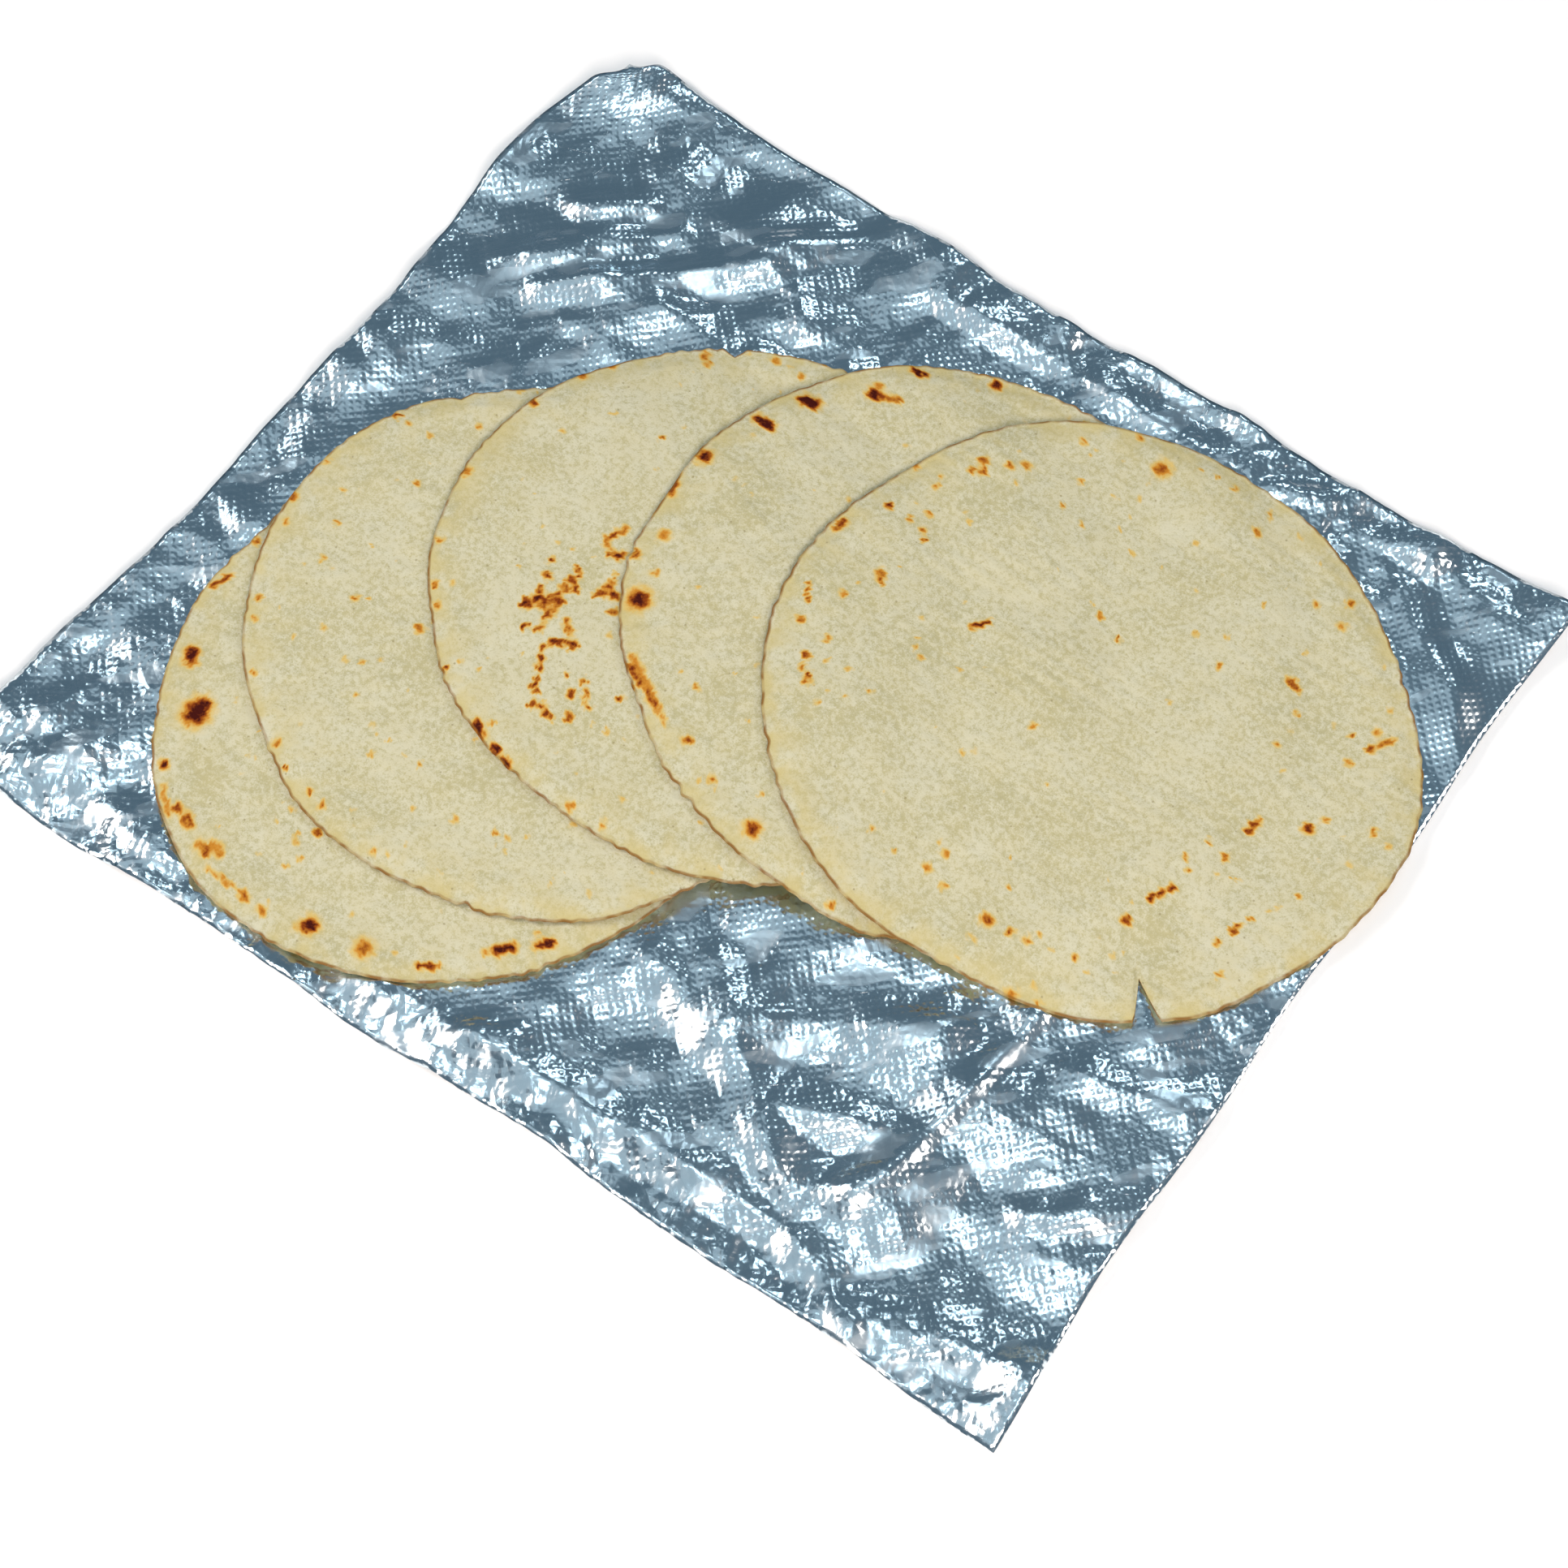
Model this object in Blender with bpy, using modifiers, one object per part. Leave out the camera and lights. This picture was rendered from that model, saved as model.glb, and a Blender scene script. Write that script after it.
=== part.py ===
"""A stack of five corn tortillas, fanned out on a crumpled sheet of embossed kitchen foil.

Frame: +Z is up and z = 0 is the table.  +X runs along the foil's long side and +Y along its
short side, away from the nearest corner.  The origin is the middle of the footprint.

Every tortilla is one soft disc.  It lies on whatever is beneath it, so each one steps down over
the rims of the ones below.  The discs are worked out one after another on a height map of the
table, from the foil up.
"""

import math

import bpy
import numpy as np

MM = 0.001

# Driving dimensions, in millimetres
TORTILLA_DIAMETER = 152.0      # a six inch corn tortilla
TORTILLA_THICKNESS = 1.7
FOIL_LENGTH = 298.0            # a 12 x 10.75 inch foil sheet, drawn in by its crumpling
FOIL_WIDTH = 259.0
FOIL_THICKNESS = 0.3           # foil with its embossing, as one sound solid
GAP = 0.4                      # clearance left between layers that touch

# The foil's cut corners: how far each one lies off the plain rectangle's, and how high it lifts
FOIL_CORNERS = {
    "near_left": (-5.2, -3.2, 2.0),
    "near_right": (0.2, 2.0, 3.2),
    "far_left": (1.0, -1.5, 3.6),
    "far_right": (-1.0, 1.0, 2.0),
}
CORNER_LIFT_REACH = 34.0       # how far from a corner its lift dies out
# How far the middle of each cut edge is drawn in
FOIL_DRAWN_IN = {"left": 4.0, "right": 2.4, "near": 0.8, "far": 2.2}
EDGE_WAVE = 0.8                # the cut edges wander this far in and out
EDGE_LIFT = 1.2                # and stand this far off the table at most
EDGE_LIFT_REACH = 13.0
# The far left corner is turned in, so it looks rounded: how far, and within what reach of it
FAR_LEFT_TURNS = [((8.5, -2.0), 33.0), ((3.5, -4.5), 14.0)]

# The longest folds in the foil, clear of the stack: start, end, height and half width
FOIL_FOLDS = [
    ((99, -35), (97, -60), 2.0, 8),
    ((97, -60), (89, -97), 2.0, 8),
    ((-129, 58), (-97, 90), 1.5, 7),
    ((-116, 56), (-72, 96), 1.8, 7),
    ((-123, 82), (-108, 92), 1.3, 6),
    ((-74, 99), (-50, 125), 1.6, 7),
    ((42, -78), (86, -47), 1.8, 9),
    ((62, -88), (83, -80), 1.5, 8),
    ((29, -67), (80, -109), 1.6, 7),
    ((17, -75), (37, -84), 1.3, 6),
    ((112, -42), (140, -35), 1.3, 7),
    ((125, -77), (146, -61), 1.5, 7),
    ((-110, -119), (-11, -117), 1.8, 7),
    ((-11, -117), (80, -112), 2.0, 7),
    ((80, -112), (107, -122), 1.8, 7),
    ((111, -119), (146, -108), 1.4, 7),
    ((-30, 114), (51, 117), 1.6, 6),
    ((51, 117), (111, 121), 1.6, 6),
    ((102, 114), (135, 94), 1.5, 7),
    ((135, 94), (146, 76), 1.3, 7),
    ((-140, -109), (-130, -69), 1.6, 8),
    ((-134, -123), (-120, -100), 1.5, 7),
    ((-131, -36), (-139, 21), 1.5, 8),
]
FOIL_WAVE = 0.5                # soft waves over the whole sheet
FOIL_WAVES = [(46, 20), (37, 75), (58, 130), (29, 160), (33, 105)]   # length, direction in degrees
PRESSED = 0.2                  # share of the foil's relief left beneath the stack
PRESS_REACH = 12.0             # and how far past a rim the pressing dies out
PRESS_STEPS = 5

# The five tortillas, lowest first: centre, how much the mean radius departs from the nominal one,
# and the rim's lobes as (number, height, direction of the first one in degrees).  The lowest has a
# flattened side too: direction, half width in degrees, depth.
TORTILLAS = [
    {"centre": (-60.7, -47.4), "spread": -0.1,
     "lobes": [(2, 2.15, 84), (3, 1.28, 19), (4, 0.41, 67), (5, 0.39, 22)],
     "flat": (172, 26, 5.2)},
    {"centre": (-52.2, -24.0), "spread": -1.6,
     "lobes": [(2, 1.25, 13), (3, 0.79, 69), (4, 0.37, 82), (5, 0.41, 26), (7, 0.50, 3)]},
    {"centre": (-22.4, 10.2), "spread": -2.4,
     "lobes": [(2, 1.55, 168), (3, 1.21, 77), (4, 0.45, 39), (5, 0.41, 20), (6, 0.33, 9)]},
    {"centre": (24.7, 31.0), "spread": 1.1,
     "lobes": [(2, 0.95, 154), (3, 0.29, 49), (4, 0.58, 30), (5, 0.52, 67), (8, 0.38, 26)]},
    {"centre": (66.4, 36.7), "spread": 3.4,
     "lobes": [(2, 2.20, 174), (3, 1.25, 112), (4, 0.40, 32), (5, 0.29, 18), (6, 0.90, 12)]},
]
# Nicks and the one deep tear in the rims: tortilla, direction, half width in degrees, depth
RIM_CUTS = [
    {"tortilla": 2, "direction": 145.0, "half_width": 3.0, "depth": 1.3},
    {"tortilla": 3, "direction": 125.0, "half_width": 2.4, "depth": 2.4},
    {"tortilla": 5, "direction": 313.0, "half_width": 2.3, "depth": 11.5},
]
RIM_WANDER = 0.3               # the pressed rim is a little ragged
RIM_WANDER_COUNTS = range(9, 18)
BUBBLE = 0.25                  # and the sheet a little uneven, where steam lifted it
BUBBLE_WAVES = 5
BUBBLE_LENGTHS = (22, 45)
DRAPE_SOFTNESS = 0.011         # how sharply a warm tortilla bends down over a rim, per millimetre
DRAPE_REACH = 16               # how far out a rim holds it up, in steps of the height map
DRAPE_BLUR = 2.5               # and how gently it meets the layer below
BLUR_REACH = 6
CLEAR_REACH = 2                # it clears whatever stands this near, in steps of the map

# The meshes
FOIL_CELLS = (38, 34)
RINGS = 8
SECTORS = 48
CUT_CLEARANCE = 1.6            # no even sector starts nearer a cut than this many half widths
CUT_SHARPNESS = 7              # the power by which a cut dies out towards the centre
MAP_STEP = 1.0                 # the height map's grid
MAP_HALF = 170                 # and its reach from the origin
FAR_BELOW = -100.0             # stands for no support at all, off the map
SEED = 20

# Colours from the photograph: base colour, roughness, metallic value
FINISHES = {
    "foil": ((0.62, 0.68, 0.73, 1.0), 0.22, 1.0),
    "tortilla": ((0.80, 0.74, 0.52, 1.0), 0.75, 0.0),
}


def clear_scene():
    """Empty the scene of whatever the file opened with."""
    for thing in list(bpy.data.objects):
        bpy.data.objects.remove(thing, do_unlink=True)


def finish(name):
    """One Principled material, from the table above."""
    colour, roughness, metallic = FINISHES[name]
    material = bpy.data.materials.new(name)
    material.use_nodes = True
    shader = material.node_tree.nodes["Principled BSDF"]
    shader.inputs["Base Color"].default_value = colour
    shader.inputs["Roughness"].default_value = roughness
    shader.inputs["Metallic"].default_value = metallic
    return material


def smooth_step(t):
    """0 below 0, 1 above 1, and a soft S between."""
    t = np.clip(t, 0.0, 1.0)
    return t * t * (3.0 - 2.0 * t)


# The height map: square, one value each millimetre, indexed [x, y]

def map_axes():
    line = np.arange(-MAP_HALF, MAP_HALF + MAP_STEP / 2, MAP_STEP)
    return np.meshgrid(line, line, indexing="ij")


def read_map(heights, x, y):
    """The map's height at any place, straight between its four nearest values."""
    u = np.clip((np.asarray(x) + MAP_HALF) / MAP_STEP, 0, heights.shape[0] - 1.001)
    v = np.clip((np.asarray(y) + MAP_HALF) / MAP_STEP, 0, heights.shape[1] - 1.001)
    i = u.astype(int)
    j = v.astype(int)
    a = u - i
    b = v - j
    return (heights[i, j] * (1 - a) * (1 - b) + heights[i + 1, j] * a * (1 - b)
            + heights[i, j + 1] * (1 - a) * b + heights[i + 1, j + 1] * a * b)


def slide(values, steps, axis, fill):
    """The map moved by whole steps along one axis."""
    moved = np.full_like(values, fill)
    keep = slice(max(0, steps), values.shape[axis] + min(0, steps))
    take = slice(max(0, -steps), values.shape[axis] + min(0, -steps))
    if axis == 0:
        moved[keep, :] = values[take, :]
    else:
        moved[:, keep] = values[:, take]
    return moved


def drape(support):
    """The underside of a soft sheet that lies on the support.

    At each place it is the highest of (support near by, less softness x distance squared), so it
    leaves a rim along a parabola.  A blur then rounds the foot of each step, and the sheet is
    never let below the support.
    """
    heights = support.copy()
    for axis in (0, 1):
        best = heights.copy()
        for steps in range(1, DRAPE_REACH + 1):
            fall = DRAPE_SOFTNESS * (steps * MAP_STEP) ** 2
            for way in (-steps, steps):
                best = np.maximum(best, slide(heights, way, axis, FAR_BELOW) - fall)
        heights = best
    for axis in (0, 1):
        total = np.zeros_like(heights)
        weight = 0.0
        for steps in range(-BLUR_REACH, BLUR_REACH + 1):
            share = math.exp(-0.5 * (steps * MAP_STEP / DRAPE_BLUR) ** 2)
            total += share * slide(heights, steps, axis, 0.0)
            weight += share
        heights = total / weight
    clear = support.copy()
    for axis in (0, 1):
        spread = clear.copy()
        for steps in range(-CLEAR_REACH, CLEAR_REACH + 1):
            spread = np.maximum(spread, slide(clear, steps, axis, FAR_BELOW))
        clear = spread
    return np.maximum(heights, clear)


# The foil

def foil_place(u, v):
    """Where the sheet's point (u, v), both 0 to 1, lies on the table.

    The four corners are joined straight, each edge is drawn in along a parabola and wanders on
    sines, and the far left corner is turned in, less and less with the distance from it.
    """
    half = np.array([FOIL_LENGTH / 2, FOIL_WIDTH / 2])
    near_left, near_right, far_left, far_right = [
        np.array([sx * half[0] + FOIL_CORNERS[name][0], sy * half[1] + FOIL_CORNERS[name][1]])
        for name, sx, sy in (("near_left", -1, -1), ("near_right", 1, -1),
                             ("far_left", -1, 1), ("far_right", 1, 1))]
    place = ((1 - u)[..., None] * (1 - v)[..., None] * near_left
             + u[..., None] * (1 - v)[..., None] * near_right
             + (1 - u)[..., None] * v[..., None] * far_left
             + u[..., None] * v[..., None] * far_right)
    x = place[..., 0]
    y = place[..., 1]
    side_x = 2 * u - 1
    side_y = 2 * v - 1
    x = x + (1 - side_y ** 2) * (FOIL_DRAWN_IN["left"] * (1 - u) - FOIL_DRAWN_IN["right"] * u)
    y = y + (1 - side_x ** 2) * (FOIL_DRAWN_IN["near"] * (1 - v) - FOIL_DRAWN_IN["far"] * v)
    wander_x = np.sin(v * 19.0 + 1.1 * side_x) + 0.8 * np.sin(v * 7.0 + 2.0 + side_x)
    wander_y = np.sin(u * 21.0 + 0.7 * side_y) + 0.6 * np.sin(u * 9.0 + 0.5 + side_y)
    x = x + EDGE_WAVE * side_x ** 5 * wander_x
    y = y + EDGE_WAVE * side_y ** 5 * wander_y
    from_corner = np.hypot(u * FOIL_LENGTH, (1 - v) * FOIL_WIDTH)
    for (dx, dy), reach in FAR_LEFT_TURNS:
        turned = smooth_step(1 - from_corner / reach)
        x = x + dx * turned
        y = y + dy * turned
    return x, y


def distance_to_edge(x, y):
    """How far a place is inside the plain rectangle, negative outside it."""
    return np.minimum(FOIL_LENGTH / 2 - np.abs(x), FOIL_WIDTH / 2 - np.abs(y))


def fold_height(x, y):
    """The long folds: each is a tent along its line that fades towards both ends."""
    total = np.zeros_like(x)
    for start, end, height, half_width in FOIL_FOLDS:
        along = np.subtract(end, start)
        length = np.hypot(*along)
        along = along / length
        dx = x - start[0]
        dy = y - start[1]
        t = dx * along[0] + dy * along[1]
        off = np.abs(dy * along[0] - dx * along[1])
        tent = np.clip(1 - off / half_width, 0, 1)
        ends = smooth_step(t / half_width + 1) * smooth_step((length - t) / half_width + 1)
        total = np.maximum(total, height * tent * ends)
    return total


def foil_relief(x, y, covered):
    """The foil's underside above the table, before it is set down: waves, folds and lifted edges.

    covered is 1 beneath the stack, where most of the relief is pressed flat.
    """
    waves = np.zeros_like(x)
    for count, (length, direction) in enumerate(FOIL_WAVES):
        angle = math.radians(direction)
        waves += np.sin(2 * math.pi * (x * math.cos(angle) + y * math.sin(angle)) / length + count)
    relief = FOIL_WAVE * waves + fold_height(x, y)
    inside = distance_to_edge(x, y)
    flutter = 0.55 + 0.45 * np.sin(x / 9.0 + 1.0) * np.sin(y / 8.0)
    relief = relief + EDGE_LIFT * flutter * smooth_step(1 - inside / EDGE_LIFT_REACH)
    for name, (dx, dy, lift) in FOIL_CORNERS.items():
        corner_x = (1 if "right" in name else -1) * FOIL_LENGTH / 2 + dx
        corner_y = (1 if "far" in name else -1) * FOIL_WIDTH / 2 + dy
        away = np.hypot(x - corner_x, y - corner_y)
        relief = relief + lift * smooth_step(1 - away / CORNER_LIFT_REACH)
    return relief * (1 - (1 - PRESSED) * covered)


def grid_faces(columns, rows):
    """Quads of a grid of points numbered row by row."""
    faces = []
    for j in range(rows):
        for i in range(columns):
            first = j * (columns + 1) + i
            faces.append((first, first + 1, first + columns + 2, first + columns + 1))
    return faces


def add_surface(name, points, faces, material):
    """An open surface as a mesh object, from points in millimetres."""
    mesh = bpy.data.meshes.new(name)
    mesh.from_pydata((np.asarray(points) * MM).tolist(), [], faces)
    mesh.materials.append(material)
    made = bpy.data.objects.new(name, mesh)
    stack.objects.link(made)
    return made


def thicken(made, thickness):
    """Give an open surface its thickness, upwards, and split both faces into triangles alike."""
    shell = made.modifiers.new("thickness", "SOLIDIFY")
    shell.thickness = thickness * MM
    shell.offset = 1.0
    shell.use_even_offset = False
    split = made.modifiers.new("triangles", "TRIANGULATE")
    split.quad_method = "FIXED"
    made.data.shade_smooth()


def make_foil(covered_map, material):
    """The foil sheet.  It returns the map of its upper side, for what lies on it."""
    columns, rows = FOIL_CELLS
    u, v = np.meshgrid(np.linspace(0, 1, columns + 1), np.linspace(0, 1, rows + 1))
    x, y = foil_place(u, v)
    z = foil_relief(x, y, read_map(covered_map, x, y))
    set_down = z.min()
    points = np.stack([x, y, z - set_down], -1).reshape(-1, 3)
    foil = add_surface("foil_sheet", points, grid_faces(columns, rows), material)
    thicken(foil, FOIL_THICKNESS)
    map_x, map_y = map_axes()
    return foil_relief(map_x, map_y, covered_map) - set_down + FOIL_THICKNESS


# The tortillas

def turn_between(angle, direction):
    """How far an angle in radians is from a direction in degrees, the short way round."""
    return np.abs((angle - math.radians(direction) + math.pi) % (2 * math.pi) - math.pi)


def rim_radius(number, angle):
    """The rim's distance from the centre: the nominal radius, its lobes and a ragged wander."""
    shape = TORTILLAS[number - 1]
    radius = np.full_like(angle, TORTILLA_DIAMETER / 2 + shape["spread"])
    for count, height, direction in shape["lobes"]:
        radius += height * np.cos(count * (angle - math.radians(direction)))
    if "flat" in shape:
        direction, half_width, depth = shape["flat"]
        radius -= depth * smooth_step(1 - turn_between(angle, direction) / math.radians(half_width))
    draw = np.random.RandomState(SEED + number)
    for count in RIM_WANDER_COUNTS:
        height = RIM_WANDER / 3 * draw.uniform(0.4, 1.0)
        radius += height * np.cos(count * angle + draw.uniform(0, 2 * math.pi))
    return radius


def rim_cut(number, angle):
    """How deep the nicks and the tear cut into the rim: each is a V."""
    depth = np.zeros_like(angle)
    for cut in RIM_CUTS:
        if cut["tortilla"] == number:
            off = turn_between(angle, cut["direction"])
            depth += cut["depth"] * np.clip(1 - off / math.radians(cut["half_width"]), 0, 1)
    return depth


def sector_angles(number):
    """Even sectors, with three more angles at each cut, and none of the even ones inside it."""
    angles = list(np.linspace(0, 2 * math.pi, SECTORS, endpoint=False))
    for cut in RIM_CUTS:
        if cut["tortilla"] == number:
            middle = math.radians(cut["direction"])
            half = math.radians(cut["half_width"])
            angles = [angle for angle in angles if abs(angle - middle) > CUT_CLEARANCE * half]
            angles += [middle - half, middle, middle + half]
    return np.array(sorted(angles))


def covered_by(number, map_x, map_y, spare=0.0):
    """True where the tortilla lies, spare millimetres past its rim included."""
    cx, cy = TORTILLAS[number - 1]["centre"]
    angle = np.arctan2(map_y - cy, map_x - cx)
    return np.hypot(map_x - cx, map_y - cy) < rim_radius(number, angle) - rim_cut(number, angle) + spare


def pressed_share():
    """The map of how far the stack presses the foil flat: 1 beneath it, in steps to 0 around it."""
    map_x, map_y = map_axes()
    share = np.zeros_like(map_x)
    for number in range(1, len(TORTILLAS) + 1):
        for step in range(PRESS_STEPS):
            spare = PRESS_REACH * step / (PRESS_STEPS - 1)
            share = np.maximum(share, (1 - step / PRESS_STEPS) * covered_by(number, map_x, map_y, spare))
    return share


def unevenness(number, x, y):
    """Low bubbles: the mean of a few sine waves in chance directions, raised to stay above 0."""
    draw = np.random.RandomState(SEED * 3 + number)
    total = np.zeros_like(x)
    for _ in range(BUBBLE_WAVES):
        angle = draw.uniform(0, 2 * math.pi)
        length = draw.uniform(*BUBBLE_LENGTHS)
        phase = draw.uniform(0, 2 * math.pi)
        total += np.sin(2 * math.pi * (x * math.cos(angle) + y * math.sin(angle)) / length + phase)
    return BUBBLE * (total / BUBBLE_WAVES + 1) / 2


def make_tortilla(number, support, material):
    """One tortilla on its support.  It returns the map of heights with the tortilla added."""
    map_x, map_y = map_axes()
    underside = drape(support) + GAP + unevenness(number, map_x, map_y)
    cx, cy = TORTILLAS[number - 1]["centre"]
    angles = sector_angles(number)
    plain = rim_radius(number, angles)
    cut = rim_cut(number, angles)
    points = [(cx, cy)]
    for ring in range(1, RINGS + 1):
        share = ring / RINGS
        radius = share * plain - cut * share ** CUT_SHARPNESS
        points += list(zip(cx + radius * np.cos(angles), cy + radius * np.sin(angles)))
    points = np.array(points)
    z = read_map(underside, points[:, 0], points[:, 1])
    count = len(angles)
    faces = [(0, 1 + i, 1 + (i + 1) % count) for i in range(count)]
    for ring in range(RINGS - 1):
        inner = 1 + ring * count
        outer = inner + count
        faces += [(inner + i, outer + i, outer + (i + 1) % count, inner + (i + 1) % count)
                  for i in range(count)]
    tortilla = add_surface(f"tortilla_{number}", np.column_stack([points, z]), faces, material)
    thicken(tortilla, TORTILLA_THICKNESS)
    lies_here = covered_by(number, map_x, map_y, spare=MAP_STEP / 2)
    return np.where(lies_here, underside + TORTILLA_THICKNESS, support)


def centre_on_origin():
    """Set every piece so that the footprint's middle is the origin and the lowest point is z = 0."""
    bpy.context.view_layer.update()
    graph = bpy.context.evaluated_depsgraph_get()
    corners = []
    for piece in stack.objects:
        mesh = piece.evaluated_get(graph).to_mesh()
        places = np.empty(len(mesh.vertices) * 3)
        mesh.vertices.foreach_get("co", places)
        places = places.reshape(-1, 3)
        corners += [places.min(0), places.max(0)]
    low = np.min(corners, 0)
    high = np.max(corners, 0)
    for piece in stack.objects:
        piece.location = (-(low[0] + high[0]) / 2, -(low[1] + high[1]) / 2, -low[2])


clear_scene()
stack = bpy.data.collections.new("corn_tortilla_stack")
bpy.context.scene.collection.children.link(stack)
foil_finish = finish("foil")
tortilla_finish = finish("tortilla")

heights = make_foil(pressed_share(), foil_finish)
for number in range(1, len(TORTILLAS) + 1):
    heights = make_tortilla(number, heights, tortilla_finish)
centre_on_origin()
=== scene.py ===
# %% [markdown]
# Corn tortillas fanned out on kitchen foil.
#
# Five soft corn tortillas overlap like a hand of cards, and lie on a sheet of crumpled foil that
# is embossed with a fine lattice of dots.  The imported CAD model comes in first, as a fixed frame
# with the true sizes.  Every finer piece of this script stands for one of its six nodes, and is
# made in the same place and at the same scale.

# %% Load the frame
import math

import bpy
import numpy as np
from mathutils import Matrix, Vector


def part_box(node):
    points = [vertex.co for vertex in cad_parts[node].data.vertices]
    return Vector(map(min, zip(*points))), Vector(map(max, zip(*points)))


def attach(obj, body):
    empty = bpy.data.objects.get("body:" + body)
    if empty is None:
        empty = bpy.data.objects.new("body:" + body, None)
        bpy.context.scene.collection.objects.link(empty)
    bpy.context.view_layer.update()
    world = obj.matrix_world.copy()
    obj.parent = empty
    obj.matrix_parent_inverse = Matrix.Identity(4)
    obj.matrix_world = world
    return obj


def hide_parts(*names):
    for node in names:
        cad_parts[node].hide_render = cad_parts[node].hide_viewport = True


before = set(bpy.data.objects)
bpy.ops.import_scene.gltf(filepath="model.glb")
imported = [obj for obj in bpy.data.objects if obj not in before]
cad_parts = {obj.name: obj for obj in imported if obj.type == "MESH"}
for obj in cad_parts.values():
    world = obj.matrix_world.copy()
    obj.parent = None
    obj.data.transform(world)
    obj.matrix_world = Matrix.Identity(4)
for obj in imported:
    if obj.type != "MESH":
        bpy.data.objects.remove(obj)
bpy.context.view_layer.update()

MM = 0.001
print("nodes of the frame:", sorted(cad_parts))

# %% [markdown]
# The sizes.  A six inch corn tortilla is 152 mm across and a little under 2 mm thick.  The foil is
# a 12 by 10.75 inch sheet, drawn in by its crumpling.  These are the CAD model's driving dimensions,
# in millimetres, because both scripts work out the same shapes: the CAD solids coarsely, and this
# one finely enough for a close look.  Only the pressed rim and the foil itself are drawn thinner.

# %% Driving dimensions
TORTILLA_DIAMETER = 152.0
TORTILLA_THICKNESS = 1.7
RIM_THICKNESS_SHARE = 0.50     # the pressed rim's thickness, as a share of the middle's
FOIL_LENGTH = 298.0
FOIL_WIDTH = 259.0
FOIL_THICKNESS = 0.3           # what the CAD foil takes up, as one sound solid
FOIL_SKIN = 0.14               # the sheet drawn here is thinner, and lies at the bottom of that
GAP = 0.4
SEED = 20

# %% [markdown]
# Helpers for shapes.  Crumpled foil and soft dough are both uneven, but not in the same way: dough
# swells in soft waves, and foil is flat between sharp creases.  So there is one function of each
# kind.  Both work on whole arrays of x and y at once, which is what makes numpy quick, and both
# take their chance directions from a seed, so that each run gives the same shape.

# %% Soft waves and sharp tents
WAVE_LENGTHS = (0.7, 1.5)      # the shortest and longest wave of a chance field, for a length of 1


def smooth_step(t):
    """0 below 0, 1 above 1, and a soft S between: t x t x (3 - 2 t)."""
    t = np.clip(t, 0.0, 1.0)
    return t * t * (3.0 - 2.0 * t)


def soft_waves(x, y, length, seed, count=7):
    """A chance field with soft hills, about 1 high: the sum of sine waves in chance directions.

    Their lengths are 0.7 to 1.5 times the given one.
    """
    draw = np.random.RandomState(seed)
    total = np.zeros_like(x)
    for _ in range(count):
        angle = draw.uniform(0, 2 * math.pi)
        wave = length * draw.uniform(*WAVE_LENGTHS)
        phase = draw.uniform(0, 2 * math.pi)
        total += np.sin(2 * math.pi * (x * math.cos(angle) + y * math.sin(angle)) / wave + phase)
    return total * math.sqrt(2.0 / count)


def tent(turns):
    """A zigzag from -1 to 1 with one sharp ridge and one sharp valley in each whole turn."""
    return 1.0 - 2.0 * np.abs(2.0 * (turns - np.floor(turns)) - 1.0)


# %% [markdown]
# The pile is worked out on a height map of the table, one value each half millimetre.  A soft
# sheet that is laid on the pile rests on the highest things under it, and hangs from them in a
# curve.  So its underside at each place is the highest of everything near by, less a little more
# the further away that is.  A cloth simulation would find nearly the same shape, but slower, and
# it wouldn't agree with the CAD solids.

# %% The height map
MAP_STEP = 0.5
MAP_HALF = 170
FAR_BELOW = -100.0             # stands for no support at all, off the map
DRAPE_SOFTNESS = 0.011
DRAPE_REACH = 16.0
DRAPE_BLUR = 2.5
BLUR_REACH = 6.0
CLEAR_REACH = 2.0
LAST_CELL = 1.001              # reading stops just before the map's last value


def map_axes():
    """The x and y of every value of the map, indexed [x, y]."""
    line = np.arange(-MAP_HALF, MAP_HALF + MAP_STEP / 2, MAP_STEP)
    return np.meshgrid(line, line, indexing="ij")


def read_map(heights, x, y):
    """The map's height at any place, straight between its four nearest values."""
    u = np.clip((np.asarray(x) + MAP_HALF) / MAP_STEP, 0, heights.shape[0] - LAST_CELL)
    v = np.clip((np.asarray(y) + MAP_HALF) / MAP_STEP, 0, heights.shape[1] - LAST_CELL)
    i = u.astype(int)
    j = v.astype(int)
    a = u - i
    b = v - j
    return (heights[i, j] * (1 - a) * (1 - b) + heights[i + 1, j] * a * (1 - b)
            + heights[i, j + 1] * (1 - a) * b + heights[i + 1, j + 1] * a * b)


def slide(values, steps, axis, fill):
    """The map moved by whole steps along one axis."""
    moved = np.full_like(values, fill)
    keep = slice(max(0, steps), values.shape[axis] + min(0, steps))
    take = slice(max(0, -steps), values.shape[axis] + min(0, -steps))
    if axis == 0:
        moved[keep, :] = values[take, :]
    else:
        moved[:, keep] = values[:, take]
    return moved


def steps_within(reach):
    """The whole steps of the map from -reach to reach millimetres."""
    count = int(round(reach / MAP_STEP))
    return range(-count, count + 1)


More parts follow.
